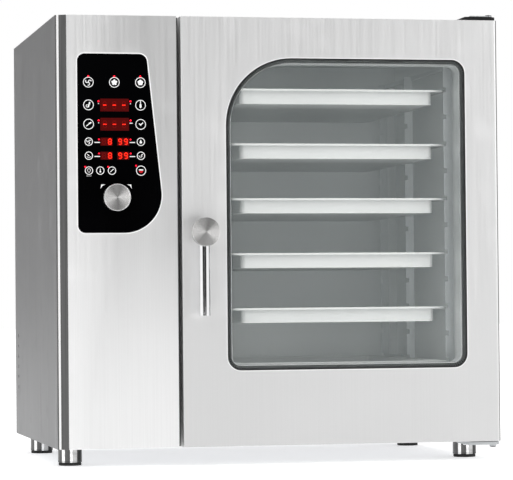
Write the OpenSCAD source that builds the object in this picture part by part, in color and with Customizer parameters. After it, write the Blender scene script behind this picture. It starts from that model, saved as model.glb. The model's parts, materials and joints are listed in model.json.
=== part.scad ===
// Combi steamer oven: cabinet, cooking chamber, glazed door, controls and six pans.
// Millimetres, +Z up, +Y towards the back. The origin is under the middle of the box, at the feet.

/* [Cabinet] */
// Overall width across the side panels
body_w = 1044; // [1030:1:1300]
// Height of the body above its feet
body_h = 988; // [975:1:1240]
// Depth from the door's front face to the back panel
body_d = 817; // [810:1:1040]
// Clear height under the body
foot_h = 44; // [36:1:150]
// Sheet thickness of the outer panels
sheet_t = 1.5; // [1:0.1:2.5]
// Insulated space between the chamber and the right, top and back panels
wall_t = 46; // [40:1:60]
// How far the pipe stubs stand out behind the back panel
rear_reach = 61; // [40:1:90]
// How far the exhaust collar stands above the top cover
collar_h = 26; // [16:1:60]

/* [Control side] */
// Width of the control fascia
control_w = 277.5; // [265:0.5:330]
// Gap between the fascia and the door
seam_w = 10.5; // [6:0.5:16]
// Width of the angled facet on the fascia's outer edge
facet_w = 24.5; // [15:0.5:40]
// Depth of the angled facet
facet_d = 14; // [8:0.5:20]
// Width of the control glass at its foot
glass_w = 193; // [170:1:215]
// Height of the control glass
glass_h = 409; // [380:1:480]
// Control glass to the fascia's outer edge
glass_side = 48; // [36:1:60]
// Control glass to the top of the body
glass_top = 88; // [60:1:140]
// Thickness of the control glass
glass_t = 4; // [3:0.5:6]
// Diameter of the control knob
knob_dia = 62; // [50:1:70]
// Knob's press travel
knob_travel = 1.5; // [0.5:0.1:2.5]

/* [Door] */
// Depth of the folded outer skin
skin_d = 40; // [30:1:48]
// Whole thickness of the door
door_t = 56; // [52:1:64]
// Bend radius of the door's hinge-side edge
edge_r = 8; // [4:0.5:12]
// Door's latch edge to the window
stile_left = 104; // [90:1:130]
// Window to the door's hinge edge
stile_right = 80; // [60:1:110]
// Window to the door's lower edge
rail_low = 174; // [120:1:200]
// Window to the door's upper edge
rail_top = 94; // [80:1:140]
// Large corner radius of the window
window_r = 157; // [60:1:200]
// Corner radius of the window's other corners
corner_r = 32; // [16:1:60]
// Thickness of the door's outer glass
pane_t = 6; // [4:0.5:8]
// Door hinge pin diameter
pin_dia = 10; // [8:0.5:14]
// Radial running clearance of pins and shafts
run_gap = 0.05; // [0.02:0.01:0.09]

/* [Door handle] */
// How far the handle's disc stands in front of the door
handle_reach = 72; // [60:1:90]
// Diameter of the handle's disc
hub_dia = 65; // [50:1:80]
// Diameter of the handle's bar
bar_dia = 26; // [20:1:32]
// Handle's axis above the door's lower edge
handle_h = 491; // [400:1:560]
// Bar's length below the axis
bar_l = 190; // [140:1:240]
// Handle's spindle diameter
spindle_dia = 16; // [12:0.5:20]

/* [Pans and racks] */
// Width of a pan over its rim
pan_w = 530; // [500:1:540]
// Length of a pan over its rim
pan_l = 645; // [560:1:650]
// Depth of a pan
pan_h = 35; // [20:1:60]
// Width of a pan's rim
rim_w = 31; // [15:1:40]
// Height of a rim's turned-down edge
rim_lip = 5; // [3:0.5:7]
// Sheet thickness of a pan
pan_t = 1.2; // [0.8:0.1:2]
// Distance between rack levels
level_pitch = 64.3; // [60:0.1:66]
// Lowest rim above the chamber floor
first_rim = 47; // [46:1:80]
// Front of the pans behind the door's face
pan_front = 97; // [92:1:110]

/* [Feet] */
// Diameter of a foot
foot_dia = 56; // [40:1:70]
// Foot centre to the body's side
foot_side = 46; // [40:1:80]
// Foot centre to the body's front or back
foot_end = 150; // [110:1:220]

/* [Services] */
// Outside diameter of the drain stub
drain_dia = 50; // [40:1:60]
// Outside diameter of the water inlet stub
inlet_dia = 26.4; // [20:0.1:34]
// Bore of the mains cable gland
gland_bore = 18; // [12:0.5:25]
// Outside diameter of the exhaust collar
collar_dia = 70; // [60:1:76]

/* [Hidden] */
$fn = 64;

eps = 0.01;
left_x = -body_w / 2;
right_x = body_w / 2;
base_z = foot_h;
top_z = foot_h + body_h;
face_y = handle_reach - (handle_reach + body_d + rear_reach) / 2;

// Door and fascia outlines
fascia_x1 = left_x + control_w;
door_x0 = fascia_x1 + seam_w;
door_x1 = right_x;
window_x = [door_x0 + stile_left, door_x1 - stile_right];
window_z = [base_z + rail_low, top_z - rail_top];
window_radii = [corner_r, corner_r, corner_r, window_r];

// Frame behind the door, and the chamber
shut_gap = 0.4;                           // between the closed door and the gasket
frame_d = door_t + 12;                    // front frame's face
liner_t = 1.5;
jacket_t = 30;
partition_x = door_x0 + 2;
chamber_x0 = partition_x + 24;            // liner's inner left face
chamber_x1 = right_x - wall_t;            // liner's inner right face
chamber_z = [base_z + 141, top_z - wall_t - 1];
chamber_d1 = body_d - 60;                 // liner's inner back face
fan_space = 82;
baffle_t = 1.5;
baffle_x = chamber_x0 + fan_space;        // face of the baffle towards the pans
frame_open_x = [baffle_x - baffle_t, chamber_x1];

// Pans and racks
pan_side = 20;                            // baffle to the rim's end
pan_x = [baffle_x + pan_side, baffle_x + pan_side + pan_w];
rim_z = [for (i = [0:5]) chamber_z[0] + first_rim + 2 * i * level_pitch];
post_w = 21;                              // width of a notched upright
post_t = 3;
notch_deep = 7;
notch_h = 12;
notch_play = 1.5;                         // rim's end to the notch's back
rack_z = [chamber_z[0] + 14, rim_z[5] + 62];

// Handle, hinges and controls
handle_x = door_x0 + 42.5;
handle_z = base_z + handle_h;
hinge_x = door_x1 - 14;
hinge_d = 22;
hinge_gap = 1.5;                          // hinge plate to the door's edge
knob_x = left_x + 136;
knob_z = top_z - 416.5;
glass_x0 = left_x + glass_side;
glass_z1 = top_z - glass_top;

// Fan and motor
fan_z = (chamber_z[0] + chamber_z[1]) / 2;
fan_d = frame_d + (chamber_d1 - frame_d) / 2;
shaft_dia = 16;
wheel_r = 165;
coil_tube_r = 4.25;

// Box between two X values, two depths behind the door's face and two heights
module box(x, d, z) {
    translate([x[0], face_y + d[0], z[0]]) cube([x[1] - x[0], d[1] - d[0], z[1] - z[0]]);
}

// Round bars along X, along Y and along Z
module rod_x(x, d, z, r) {
    translate([x[0], face_y + d, z]) rotate([0, 90, 0]) cylinder(h = x[1] - x[0], r = r);
}
module rod_y(x, d, z, r) {
    translate([x, face_y + d[1], z]) rotate([90, 0, 0]) cylinder(h = d[1] - d[0], r = r);
}
module rod_z(x, d, z, r) {
    translate([x, face_y + d, z[0]]) cylinder(h = z[1] - z[0], r = r);
}

// Points along an arc
function arc(cx, cy, r, a0, a1, n = 10) =
    [for (i = [0:n]) let (a = a0 + (a1 - a0) * i / n) [cx + r * cos(a), cy + r * sin(a)]];

// Rounded rectangle, radii from the lower left corner anticlockwise
function rounded(x, z, r) = concat(
    arc(x[0] + r[0], z[0] + r[0], r[0], 180, 270),
    arc(x[1] - r[1], z[0] + r[1], r[1], 270, 360),
    arc(x[1] - r[2], z[1] - r[2], r[2], 0, 90),
    arc(x[0] + r[3], z[1] - r[3], r[3], 90, 180, 20));

// A span made longer by a margin at each end
function wider(span, m) = [span[0] - m, span[1] + m];

// The same rectangle moved outwards by a margin
function grown(x, z, r, m) = rounded(wider(x, m), wider(z, m), [for (v = r) max(v + m, 1)]);

// Front outline (X, Z) given a thickness in depth
module front_plate(points, d) {
    translate([0, face_y + d[1], 0]) rotate([90, 0, 0]) linear_extrude(d[1] - d[0]) polygon(points);
}

// Plan outline (X, depth) given a height
module plan_plate(points, z) {
    translate([0, face_y, z[0]]) linear_extrude(z[1] - z[0]) polygon(points);
}

// ---------- cabinet ----------

// Floor plate with a C-section rail round it, open towards the middle
module base_frame() color("silver") {
    tube = 30;
    rail_t = 2;
    x = [left_x + sheet_t, right_x - sheet_t];
    d = [frame_d + 2, body_d - sheet_t];
    z = [base_z, base_z + tube];
    difference() {
        box(x, d, z);
        box([x[0] + tube, x[1] - tube], [d[0] + tube, d[1] - tube], [z[0] + sheet_t, z[1] + 1]);
        box(wider(x, -rail_t), wider(d, -rail_t), [z[0] + sheet_t, z[1] - rail_t]);
        for (fx = foot_xs(), fd = foot_ds()) rod_z(fx, fd, [z[0] - 1, z[1] + 1], 8);
    }
}

function foot_xs() = [left_x + foot_side, right_x - foot_side];
function foot_ds() = [foot_end, body_d - foot_end];

module left_side_panel() color("darkgray")
    difference() {
        box([left_x, left_x + sheet_t], [facet_d + 3, body_d - sheet_t], [base_z, top_z - sheet_t]);
        for (i = [0:5])
            rod_x([left_x - 1, left_x + 3], body_d - 60, base_z + 120 + i * 26, 5);
    }

module right_side_panel() color("darkgray")
    box([right_x - sheet_t, right_x], [frame_d + 2, body_d - sheet_t], [base_z, top_z - sheet_t]);

module top_cover() color("silver")
    difference() {
        box([left_x, right_x], [facet_d + 3, body_d - sheet_t], [top_z - sheet_t, top_z]);
        box([fascia_x1 - sheet_t, right_x + 1], [0, frame_d + 2], [top_z - 5, top_z + 1]);
        rod_z(vent_x, vent_d, [top_z - 5, top_z + 1], collar_dia / 2);
        for (x = [hinge_x - 46, hinge_x - 10]) rod_z(x, frame_d + 22, [top_z - 5, top_z + 1], 4);
    }

vent_x = baffle_x + 130;
vent_d = body_d - 160;
gland = [left_x + 70, base_z + 90];
inlet = [left_x + 130, base_z + 90];
drain = [partition_x + 90, base_z + 70];
exhaust_fan = [left_x + 110, base_z + 420];
stub_gap = 0.2;                           // between a pipe and its hole in the back panel
flap_z = top_z - 22;
flap_motor_x = [vent_x - collar_dia / 2 - 42, vent_x - collar_dia / 2 - 6];

module back_panel() color("darkgray")
    difference() {
        box([left_x, right_x], [body_d - sheet_t, body_d], [base_z, top_z]);
        rod_y(gland[0], [body_d - 5, body_d + 1], gland[1], 12);
        rod_y(inlet[0], [body_d - 5, body_d + 1], inlet[1], inlet_dia / 2 - 1 + stub_gap);
        rod_y(drain[0], [body_d - 5, body_d + 1], drain[1], drain_dia / 2 - 1 + stub_gap);
        for (i = [-4:4])
            box([exhaust_fan[0] - 50, exhaust_fan[0] + 50], [body_d - 5, body_d + 1],
                [exhaust_fan[1] + i * 11 - 3, exhaust_fan[1] + i * 11 + 3]);
    }

module front_frame() color("silver")
    difference() {
        box([partition_x, right_x], [frame_d, frame_d + 2], [base_z, top_z]);
        box(frame_open_x, [frame_d - 1, frame_d + 3], chamber_z);
        for (z = strike_screws()) rod_y(handle_x, [frame_d - 1, frame_d + 3], z, 2.5);
    }

function strike_screws() = [handle_z + 14, handle_z + 38];

module cavity_liner() color("gainsboro") {
    d = [frame_d + 2, chamber_d1];
    difference() {
        box([chamber_x0 - liner_t, chamber_x1 + liner_t], [d[0], d[1] + liner_t],
            [chamber_z[0] - liner_t, chamber_z[1] + liner_t]);
        box([chamber_x0, chamber_x1], [d[0] - 1, d[1]], chamber_z);
        rod_x([chamber_x0 - 5, chamber_x0 + 1], fan_d, fan_z, 14);
        rod_x([chamber_x0 - 5, chamber_x0 + 1], fan_d + 225, fan_z - 110, 12);
        rod_z(strainer_x, strainer_d, [chamber_z[0] - 5, chamber_z[0] + 1], drain_dia / 2 - 3);
        rod_z(vent_x, vent_d, [chamber_z[1] - 1, chamber_z[1] + 5], collar_dia / 2 - 3);
        rod_z(lamp_x, lamp_d, [chamber_z[1] - 1, chamber_z[1] + 5], 24);
        for (z = coil_lead_z(), s = [-1, 1])
            rod_x([chamber_x0 - 5, chamber_x0 + 1], fan_d + s * coil_lead_d(z), z, coil_tube_r);
    }
}

strainer_x = baffle_x + 180;
strainer_d = frame_d + (chamber_d1 - frame_d) / 2;
lamp_x = baffle_x + 300;
lamp_d = frame_d + 110;

module insulation_jacket() color("khaki") {
    outer = jacket_t;
    d = [frame_d + 2, chamber_d1 + liner_t];
    x = [chamber_x0 - liner_t - 18, chamber_x1 + liner_t + outer];
    z = [chamber_z[0] - liner_t - outer, chamber_z[1] + liner_t + outer];
    difference() {
        box(x, [d[0], d[1] + outer], z);
        box([chamber_x0 - liner_t, chamber_x1 + liner_t], [d[0] - 1, d[1]],
            [chamber_z[0] - liner_t, chamber_z[1] + liner_t]);
        rod_x([chamber_x0 - 30, chamber_x0], fan_d, fan_z, 16);
        rod_x([chamber_x0 - 30, chamber_x0], fan_d + 225, fan_z - 110, 14);
        rod_z(strainer_x, strainer_d, [z[0] - 1, chamber_z[0]], drain_dia / 2);
        rod_z(vent_x, vent_d, [chamber_z[1], z[1] + 1], collar_dia / 2);
        box([flap_motor_x[0] - 1, vent_x], [vent_d - 21, vent_d + 21], [flap_z - 13, z[1] + 1]);
        box([vent_x, vent_x + collar_dia / 2 + 5], [vent_d - 5, vent_d + 5], [flap_z - 5, z[1] + 1]);
        rod_z(lamp_x, lamp_d, [chamber_z[1], z[1] + 1], 30);
        for (c = coil_lead_z(), s = [-1, 1])
            rod_x([chamber_x0 - 30, chamber_x0], fan_d + s * coil_lead_d(c), c, 12);
    }
}

module partition_panel() color("silver")
    difference() {
        box([partition_x, partition_x + 2], [frame_d + 2, body_d - sheet_t],
            [base_z + 30, top_z - sheet_t]);
        rod_x([partition_x - 1, partition_x + 3], fan_d, fan_z, 40);
        rod_x([partition_x - 1, partition_x + 3], fan_d + 225, fan_z - 110, 14);
        for (z = coil_lead_z(), s = [-1, 1])
            rod_x([partition_x - 1, partition_x + 3], fan_d + s * coil_lead_d(z), z, 12);
    }

module door_gasket() color("dimgray") {
    margin = 6;
    width = 14;
    x = [frame_open_x[0] - margin, frame_open_x[1] + margin];
    z = [chamber_z[0] - margin, chamber_z[1] + margin];
    difference() {
        front_plate(grown(x, z, [20, 20, 20, 20], width), [door_t + shut_gap, frame_d]);
        front_plate(rounded(x, z, [20, 20, 20, 20]), [door_t, frame_d + 1]);
        front_plate(grown(x, z, [20, 20, 20, 20], width / 2 + 2.5), [door_t, door_t + shut_gap + 3]);
    }
    difference() {
        front_plate(grown(x, z, [20, 20, 20, 20], width / 2 - 2.5),
            [door_t + shut_gap, door_t + shut_gap + 3]);
        front_plate(rounded(x, z, [20, 20, 20, 20]), [door_t, frame_d + 1]);
    }
}

// Rubber profile that closes the gap beside the door, held by the fascia's inner flange
module seam_seal() color("dimgray")
    box([fascia_x1, fascia_x1 + seam_w / 2], [14, 20], [base_z + 2, top_z - 2]);

module control_fascia() color("whitesmoke") {
    outer = [[left_x, facet_d], [left_x + facet_w, 0], [fascia_x1, 0], [fascia_x1, frame_d],
        [partition_x, frame_d], [partition_x, frame_d + 2], [fascia_x1 - sheet_t, frame_d + 2],
        [fascia_x1 - sheet_t, sheet_t], [left_x + facet_w + 0.4, sheet_t],
        [left_x + sheet_t, facet_d + 0.8], [left_x + sheet_t, facet_d + 2], [left_x, facet_d + 2]];
    difference() {
        union() {
            plan_plate(outer, [base_z, top_z]);
            for (flange = [[base_z, frame_d + 2], [top_z - sheet_t, facet_d + 3]])
                plan_plate([[left_x + sheet_t, facet_d], [left_x + facet_w, eps],
                    [fascia_x1 - sheet_t / 2, eps], [fascia_x1 - sheet_t / 2, flange[1]],
                    [left_x + sheet_t, flange[1]]], [flange[0], flange[0] + sheet_t]);
        }
        front_plate(glass_outline(2.5), [-1, sheet_t + 1]);
    }
}

// Control glass outline, drawn with its slanted right side and large lower curve, moved outwards by m
function glass_outline(m) =
    let (x0 = glass_x0 - m, z1 = glass_z1 + m, z0 = glass_z1 - glass_h - m,
        foot_r = 87 + m, top_r = 19 + m, side_r = 17 + m, lean = 6,
        foot_c = [glass_x0 + glass_w - 87, glass_z1 - glass_h + 87],
        run = glass_h - 87 - 19,
        top_c = [foot_c[0] + (87 - 19) / cos(lean) - run * tan(lean), glass_z1 - 19])
    concat(arc(x0 + side_r, z0 + side_r, side_r, 180, 270),
        arc(foot_c[0], foot_c[1], foot_r, 270, 360 + lean, 20),
        arc(top_c[0], top_c[1], top_r, lean, 90),
        arc(x0 + side_r, z1 - side_r, side_r, 90, 180));

module glass_bezel() color("white")
    difference() {
        front_plate(glass_outline(2.5), [-0.6, sheet_t + 0.6]);
        front_plate(glass_outline(0), [-1, sheet_t + 2]);
    }

module control_glass() color("black")
    difference() {
        union() {
            front_plate(glass_outline(0), [-0.3, sheet_t + 0.6]);
            front_plate(glass_outline(7), [sheet_t + 0.6, glass_t + sheet_t]);
        }
        rod_y(knob_x, [-1, 10], knob_z, 6);
    }

module display_board() color("darkgreen") {
    z = [glass_z1 - glass_h + 20, glass_z1 - 12];
    x = [glass_x0 + 8, glass_x0 + glass_w - 36];
    d0 = glass_t + sheet_t;
    difference() {
        box(x, [d0 + 10, d0 + 12], z);
        rod_y(knob_x, [d0, d0 + 20], knob_z, 13);
    }
    for (row = [121.5, 165.5, 205, 237])
        box([knob_x - 29, knob_x + 33], [d0, d0 + 10], [glass_z1 - row + 5, glass_z1 - row + 27]);
    for (sx = x, sz = z)
        box([sx == x[0] ? sx : sx - 8, sx == x[0] ? sx + 8 : sx], [d0, d0 + 10],
            [sz == z[0] ? sz : sz - 8, sz == z[0] ? sz + 8 : sz]);
}

module encoder_body() color("gray") {
    d0 = glass_t + sheet_t;
    difference() {
        rod_y(knob_x, [d0, d0 + 34], knob_z, 12.9);
        rod_y(knob_x, [d0 - 1, d0 + 30], knob_z, 4 + run_gap);
    }
}

// Sprung stem: it slides in the encoder and carries the knob
module knob_stem() color("silver") {
    rod_y(knob_x, [-14, glass_t + sheet_t + 26], knob_z, 4);
    rod_y(knob_x, [-18, -14], knob_z, 3);
}

module control_knob() color("lightgray")
    difference() {
        union() {
            rod_y(knob_x, [-20, -knob_travel - 1], knob_z, knob_dia / 2 - 3);
            rod_y(knob_x, [-18.8, -4], knob_z, knob_dia / 2);
        }
        rod_y(knob_x, [-14 - 0.4, 0], knob_z, 4 + run_gap);
        rod_y(knob_x, [-18.4, -10], knob_z, 3 + run_gap);
        difference() {
            rod_y(knob_x, [-15, 0], knob_z, knob_dia / 2 - 6);
            rod_y(knob_x, [-16, 1], knob_z, 8);
        }
    }

// ---------- electrical compartment ----------

module power_board() color("darkgreen") {
    x = [left_x + 20, left_x + 200];
    d = 180;
    box([x[0] - 18.5, x[1]], [d, d + 3], [base_z + 560, base_z + 760]);
    for (i = [0:3], j = [0:2])
        box([x[0] + 10 + i * 42, x[0] + 38 + i * 42], [d - 22, d],
            [base_z + 580 + j * 60, base_z + 614 + j * 60]);
}

module contactors() color("dimgray") {
    d = 180;
    box([left_x + sheet_t, left_x + 230], [d + 10, d + 17], [base_z + 470, base_z + 505]);
    for (i = [0:3])
        box([left_x + 20 + i * 50, left_x + 65 + i * 50], [d - 70, d + 10], [base_z + 445, base_z + 530]);
}

fan_frame = 110;
module cooling_fan_frame() color("dimgray") {
    d = [body_d - sheet_t - 38, body_d - sheet_t];
    x = exhaust_fan[0];
    z = exhaust_fan[1];
    difference() {
        box(wider([x, x], fan_frame / 2 + 5), d, wider([z, z], fan_frame / 2 + 5));
        rod_y(x, [d[0] - 1, d[1] + 1], z, fan_frame / 2);
    }
    difference() {
        union() {
            rod_y(x, [d[0] + 1, d[0] + 8], z, 17);
            for (a = [45:90:315])
                translate([x, face_y + d[0] + 1, z]) rotate([0, a, 0])
                    translate([12, 0, -3]) cube([45, 4, 6]);
        }
        rod_y(x, [d[0] + 3, d[0] + 9], z, 3 + run_gap);
    }
}

module cooling_rotor() color("black") {
    d0 = body_d - sheet_t - 38;
    x = exhaust_fan[0];
    z = exhaust_fan[1];
    rod_y(x, [d0 + 3.5, d0 + 34], z, 3);
    rod_y(x, [d0 + 10, d0 + 34], z, 20);
    for (a = [0:60:300])
        translate([x, face_y + d0 + 22, z]) rotate([0, a, 0]) rotate([35, 0, 0])
            translate([18, -1, -11]) cube([33, 2, 22]);
}

module cable_gland() color("black")
    difference() {
        union() {
            rod_y(gland[0], [body_d - 14, body_d + 8], gland[1], 12);
            rod_y(gland[0], [body_d, body_d + 12], gland[1], 17);
            rod_y(gland[0], [body_d - 8, body_d - sheet_t], gland[1], 17);
            rod_y(gland[0], [body_d + 12, body_d + 28], gland[1], 14.5);
        }
        rod_y(gland[0], [body_d - 15, body_d + 29], gland[1], gland_bore / 2);
    }

motor_x1 = partition_x - 6;
module fan_motor() color("gray")
    difference() {
        union() {
            rod_x([motor_x1 - 160, motor_x1], fan_d, fan_z, 68);
            for (i = [0:11])
                rod_x([motor_x1 - 150 + i * 11, motor_x1 - 146 + i * 11], fan_d, fan_z, 74);
            box([motor_x1, partition_x], [fan_d - 90, fan_d + 90], [fan_z - 90, fan_z + 90]);
        }
        rod_x([motor_x1 - 60, partition_x + 1], fan_d, fan_z, shaft_dia / 2 + run_gap);
    }

// Wheel, hub and shaft turn together
module fan_wheel() color("lightgray") {
    x0 = chamber_x0 + 12;
    rod_x([motor_x1 - 55, x0 + 45], fan_d, fan_z, shaft_dia / 2);
    rod_x([x0, x0 + 3], fan_d, fan_z, wheel_r);
    rod_x([x0 + 3, x0 + 30], fan_d, fan_z, 26);
    rod_x([x0 + 45, x0 + 53], fan_d, fan_z, 12, $fn = 6);
    for (i = [0:11])
        translate([x0 + 2, face_y + fan_d, fan_z]) rotate([i * 30, 0, 0]) translate([0, 100, 0])
            rotate([18, 0, 0]) translate([0, 0, -1.5]) cube([49, 58, 3]);
    difference() {
        rod_x([x0 + 50, x0 + 52], fan_d, fan_z, wheel_r);
        rod_x([x0 + 49, x0 + 53], fan_d, fan_z, wheel_r - 38);
    }
}

coil_r = 200;
function coil_lead_d(z) = sqrt(coil_r * coil_r - pow(fan_z - z, 2));
coil_turns = 3;
function coil_lead_z() = [for (i = [0:coil_turns - 1]) fan_z - 132 + i * 20];
module heating_coils() color("dimgray")
    for (i = [0:coil_turns - 1]) {
        x = chamber_x0 + 14 + i * 20;
        lead_z = fan_z - 132 + i * 20;
        difference() {
            translate([x, face_y + fan_d, fan_z]) rotate([0, 90, 0])
                rotate_extrude() translate([coil_r, 0]) circle(coil_tube_r, $fn = 12);
            box([x - 10, x + 10], [fan_d - 30, fan_d + 30], [fan_z - coil_r - 10, fan_z - coil_r + 10]);
        }
        for (s = [-1, 1])
            rod_x([chamber_x0 - 60, x], fan_d + s * coil_lead_d(lead_z), lead_z, coil_tube_r);
    }

// Boiler shell open at its foot, with its steam pipe to the chamber
module steam_generator() color("silver") {
    x = [left_x + 30, partition_x - 40];
    z = [base_z + 60, base_z + 300];
    shell_t = 2;
    pipe_d = fan_d + 225;
    pipe_z = fan_z - 110;
    difference() {
        box([x[0], x[1]], [450, 660], z);
        box([x[0] + shell_t, x[1] - shell_t], [450 + shell_t, 660 - shell_t], [z[0] - 1, z[1] - shell_t]);
    }
    for (fx = [x[0] + 10, x[1] - 30])
        box([fx, fx + 20], [460, 650], [base_z + sheet_t, z[0]]);
    rod_z(x[1] - 50, pipe_d, [z[1] - shell_t, pipe_z], 11);
    rod_x([x[1] - 50, chamber_x0 + 20], pipe_d, pipe_z, 11);
    rod_z(x[1] - 50, pipe_d, [pipe_z - 14, pipe_z + 14], 14);
}

module water_valve() color("navy") {
    difference() {
        union() {
            rod_y(inlet[0], [body_d - 60, body_d], inlet[1], inlet_dia / 2 - 1);
            rod_y(inlet[0], [body_d, body_d + 22], inlet[1], inlet_dia / 2);
            rod_y(inlet[0], [body_d - 8, body_d - sheet_t], inlet[1], 20);
        }
        rod_y(inlet[0], [body_d - 40, body_d + 23], inlet[1], inlet_dia / 2 - 3);
    }
    box([inlet[0] - 18, inlet[0] + 18], [body_d - 100, body_d - 60], [inlet[1] - 18, inlet[1] + 18]);
    box([inlet[0] - 14, inlet[0] + 14], [body_d - 96, body_d - 64], [inlet[1] + 18, inlet[1] + 60]);
}

// Straight tubes pushed into turned elbows, from the strainer to the rear stub
module drain_pipe() color("gray") {
    r = drain_dia / 2;
    tube_r = r - 1;
    bore_r = r - 4;
    elbow_r = r + 2;
    socket = 12;                          // elbow's axis to the end of the tube in it
    z = drain[1];
    difference() {
        rod_z(strainer_x, strainer_d, [z + elbow_r, chamber_z[0] - liner_t], tube_r);
        rod_z(strainer_x, strainer_d, [z, chamber_z[0] + 1], bore_r);
    }
    difference() {
        rod_x([drain[0] + socket, strainer_x - socket], strainer_d, z, tube_r);
        rod_x([drain[0], strainer_x], strainer_d, z, bore_r);
    }
    difference() {
        union() {
            rod_y(drain[0], [strainer_d + socket, body_d + rear_reach], z, tube_r);
            rod_y(drain[0], [body_d, body_d + rear_reach], z, r);
        }
        rod_y(drain[0], [strainer_d, body_d + rear_reach + 1], z, bore_r);
    }
    difference() {
        rod_z(strainer_x, strainer_d, [z - elbow_r, z + elbow_r], elbow_r);
        rod_z(strainer_x, strainer_d, [z - bore_r, z + elbow_r + 1], bore_r + 1);
        rod_x([strainer_x - elbow_r - 1, strainer_x - socket], strainer_d, z, tube_r);
    }
    difference() {
        rod_z(drain[0], strainer_d, [z - elbow_r, z + elbow_r], elbow_r);
        rod_z(drain[0], strainer_d, [z - bore_r, z + bore_r], bore_r + 1);
        rod_x([drain[0] + socket, drain[0] + elbow_r + 1], strainer_d, z, tube_r);
        rod_y(drain[0], [strainer_d + socket, strainer_d + elbow_r + 1], z, tube_r);
    }
}

module drain_strainer() color("silver") {
    r = drain_dia / 2;
    difference() {
        union() {
            rod_z(strainer_x, strainer_d, [chamber_z[0], chamber_z[0] + 2], r + 12);
            rod_z(strainer_x, strainer_d, [chamber_z[0] - 12, chamber_z[0]], r - 5);
        }
        for (a = [0:45:315], q = [8, 15])
            rod_z(strainer_x + q * cos(a), strainer_d + q * sin(a),
                [chamber_z[0] - 13, chamber_z[0] + 3], 2.2);
    }
}

// ---------- exhaust ----------

module exhaust_collar() color("silver") {
    r = collar_dia / 2;
    difference() {
        union() {
            rod_z(vent_x, vent_d, [chamber_z[1] + liner_t, top_z + collar_h], r);
            rod_z(vent_x, vent_d, [top_z, top_z + 2], r + 12);
        }
        rod_z(vent_x, vent_d, [chamber_z[1], top_z + collar_h + 1], r - 2);
        rod_x([vent_x - r - 1, vent_x + r + 1], vent_d, flap_z, 3 + run_gap);
    }
}

module vent_flap() color("dimgray") {
    r = collar_dia / 2;
    rod_x([vent_x - r - 14, vent_x + r + 3], vent_d, flap_z, 3);
    rod_z(vent_x, vent_d, [flap_z - 1, flap_z + 1], r - 4);
}

module flap_motor() color("dimgray") {
    difference() {
        box(flap_motor_x, [vent_d - 20, vent_d + 20], [flap_z - 12, top_z - sheet_t]);
        rod_x([flap_motor_x[1] - 9, flap_motor_x[1] + 1], vent_d, flap_z, 3 + run_gap);
    }
}

module cavity_lamp() color("ivory") {
    rod_z(lamp_x, lamp_d, [chamber_z[1] - 10, chamber_z[1]], 27);
    rod_z(lamp_x, lamp_d, [chamber_z[1], chamber_z[1] + 30], 23.5);
}

// ---------- chamber fittings ----------

module baffle_panel() color("gainsboro") {
    x = [baffle_x - baffle_t, baffle_x];
    difference() {
        union() {
            box(x, [frame_d + 2, chamber_d1 - 34], [chamber_z[0] + 6, chamber_z[1] - 6]);
            for (d = [frame_d + 60, chamber_d1 - 70], z = [chamber_z[0] + 40, chamber_z[1] - 60])
                box([chamber_x0, baffle_x - baffle_t], [d, d + 16], [z, z + 2]);
        }
        for (r = [30:22:140], a = [0:360 / floor(r / 4):359])
            translate([x[0] - 1, face_y + fan_d + r * cos(a), fan_z + r * sin(a)]) rotate([a, 0, 0])
                translate([0, -7, -3]) cube([4, 14, 6]);
    }
}

// Notched uprights joined by crossbars; side is +1 on the right and -1 on the left
module rack(side) {
    inner = side > 0 ? pan_x[1] - notch_deep + notch_play : pan_x[0] + notch_deep - notch_play;
    outer = inner + side * post_w;
    wall = side > 0 ? chamber_x1 : baffle_x;
    depths = [pan_front + 2, pan_front + 355, pan_front + pan_l - 40];
    difference() {
        union() {
            for (d = depths)
                box([min(inner, outer), max(inner, outer)], [d, d + post_t], rack_z);
            for (d = depths)
                box([min(outer, outer - side * post_t), max(outer, outer - side * post_t)],
                    [d, d + 16], rack_z);
            for (z = [rack_z[0], rack_z[1] - 10])
                box([min(outer, outer - side * post_t), max(outer, outer - side * post_t)],
                    [depths[0], depths[2] + 16], [z, z + 10]);
            for (d = [depths[0], depths[2]], z = [rack_z[0] + 30, rack_z[1] - 40])
                box([min(outer, wall), max(outer, wall)], [d, d + 10], [z, z + 6]);
        }
        for (z = [for (i = [0:10]) chamber_z[0] + first_rim + i * level_pitch])
            box([min(inner - side, inner + side * notch_deep), max(inner - side, inner + side * notch_deep)],
                [depths[0] - 1, depths[2] + post_t + 1], [z - rim_lip, z - rim_lip + notch_h]);
    }
}
module rack_left() color("silver") rack(-1);
module rack_right() color("silver") rack(1);

function pan_plan(x, d, r) = rounded(x, d, [r, r, r, r]);
module pan(i) color("gainsboro") {
    z1 = rim_z[i];
    d = [pan_front, pan_front + pan_l];
    body_x = [pan_x[0] + rim_w, pan_x[1] - rim_w];
    body_d = [d[0] + 13, d[1] - 13];
    r = 12;
    difference() {
        union() {
            plan_plate(pan_plan(pan_x, d, 14), [z1 - pan_t, z1]);
            plan_plate(pan_plan(body_x, body_d, r), [z1 - pan_h, z1 - pan_t / 2]);
            difference() {
                plan_plate(pan_plan(pan_x, d, 14), [z1 - rim_lip, z1 - pan_t / 2]);
                plan_plate(pan_plan(wider(pan_x, -pan_t), wider(d, -pan_t), 14 - pan_t),
                    [z1 - rim_lip - 1, z1]);
            }
        }
        plan_plate(pan_plan([body_x[0] + pan_t, body_x[1] - pan_t], [body_d[0] + pan_t, body_d[1] - pan_t],
            r - pan_t), [z1 - pan_h + pan_t, z1 + 1]);
    }
}
module pan_1() pan(0);
module pan_2() pan(1);
module pan_3() pan(2);
module pan_4() pan(3);
module pan_5() pan(4);
module pan_6() pan(5);

// ---------- hinges and latch ----------

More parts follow.
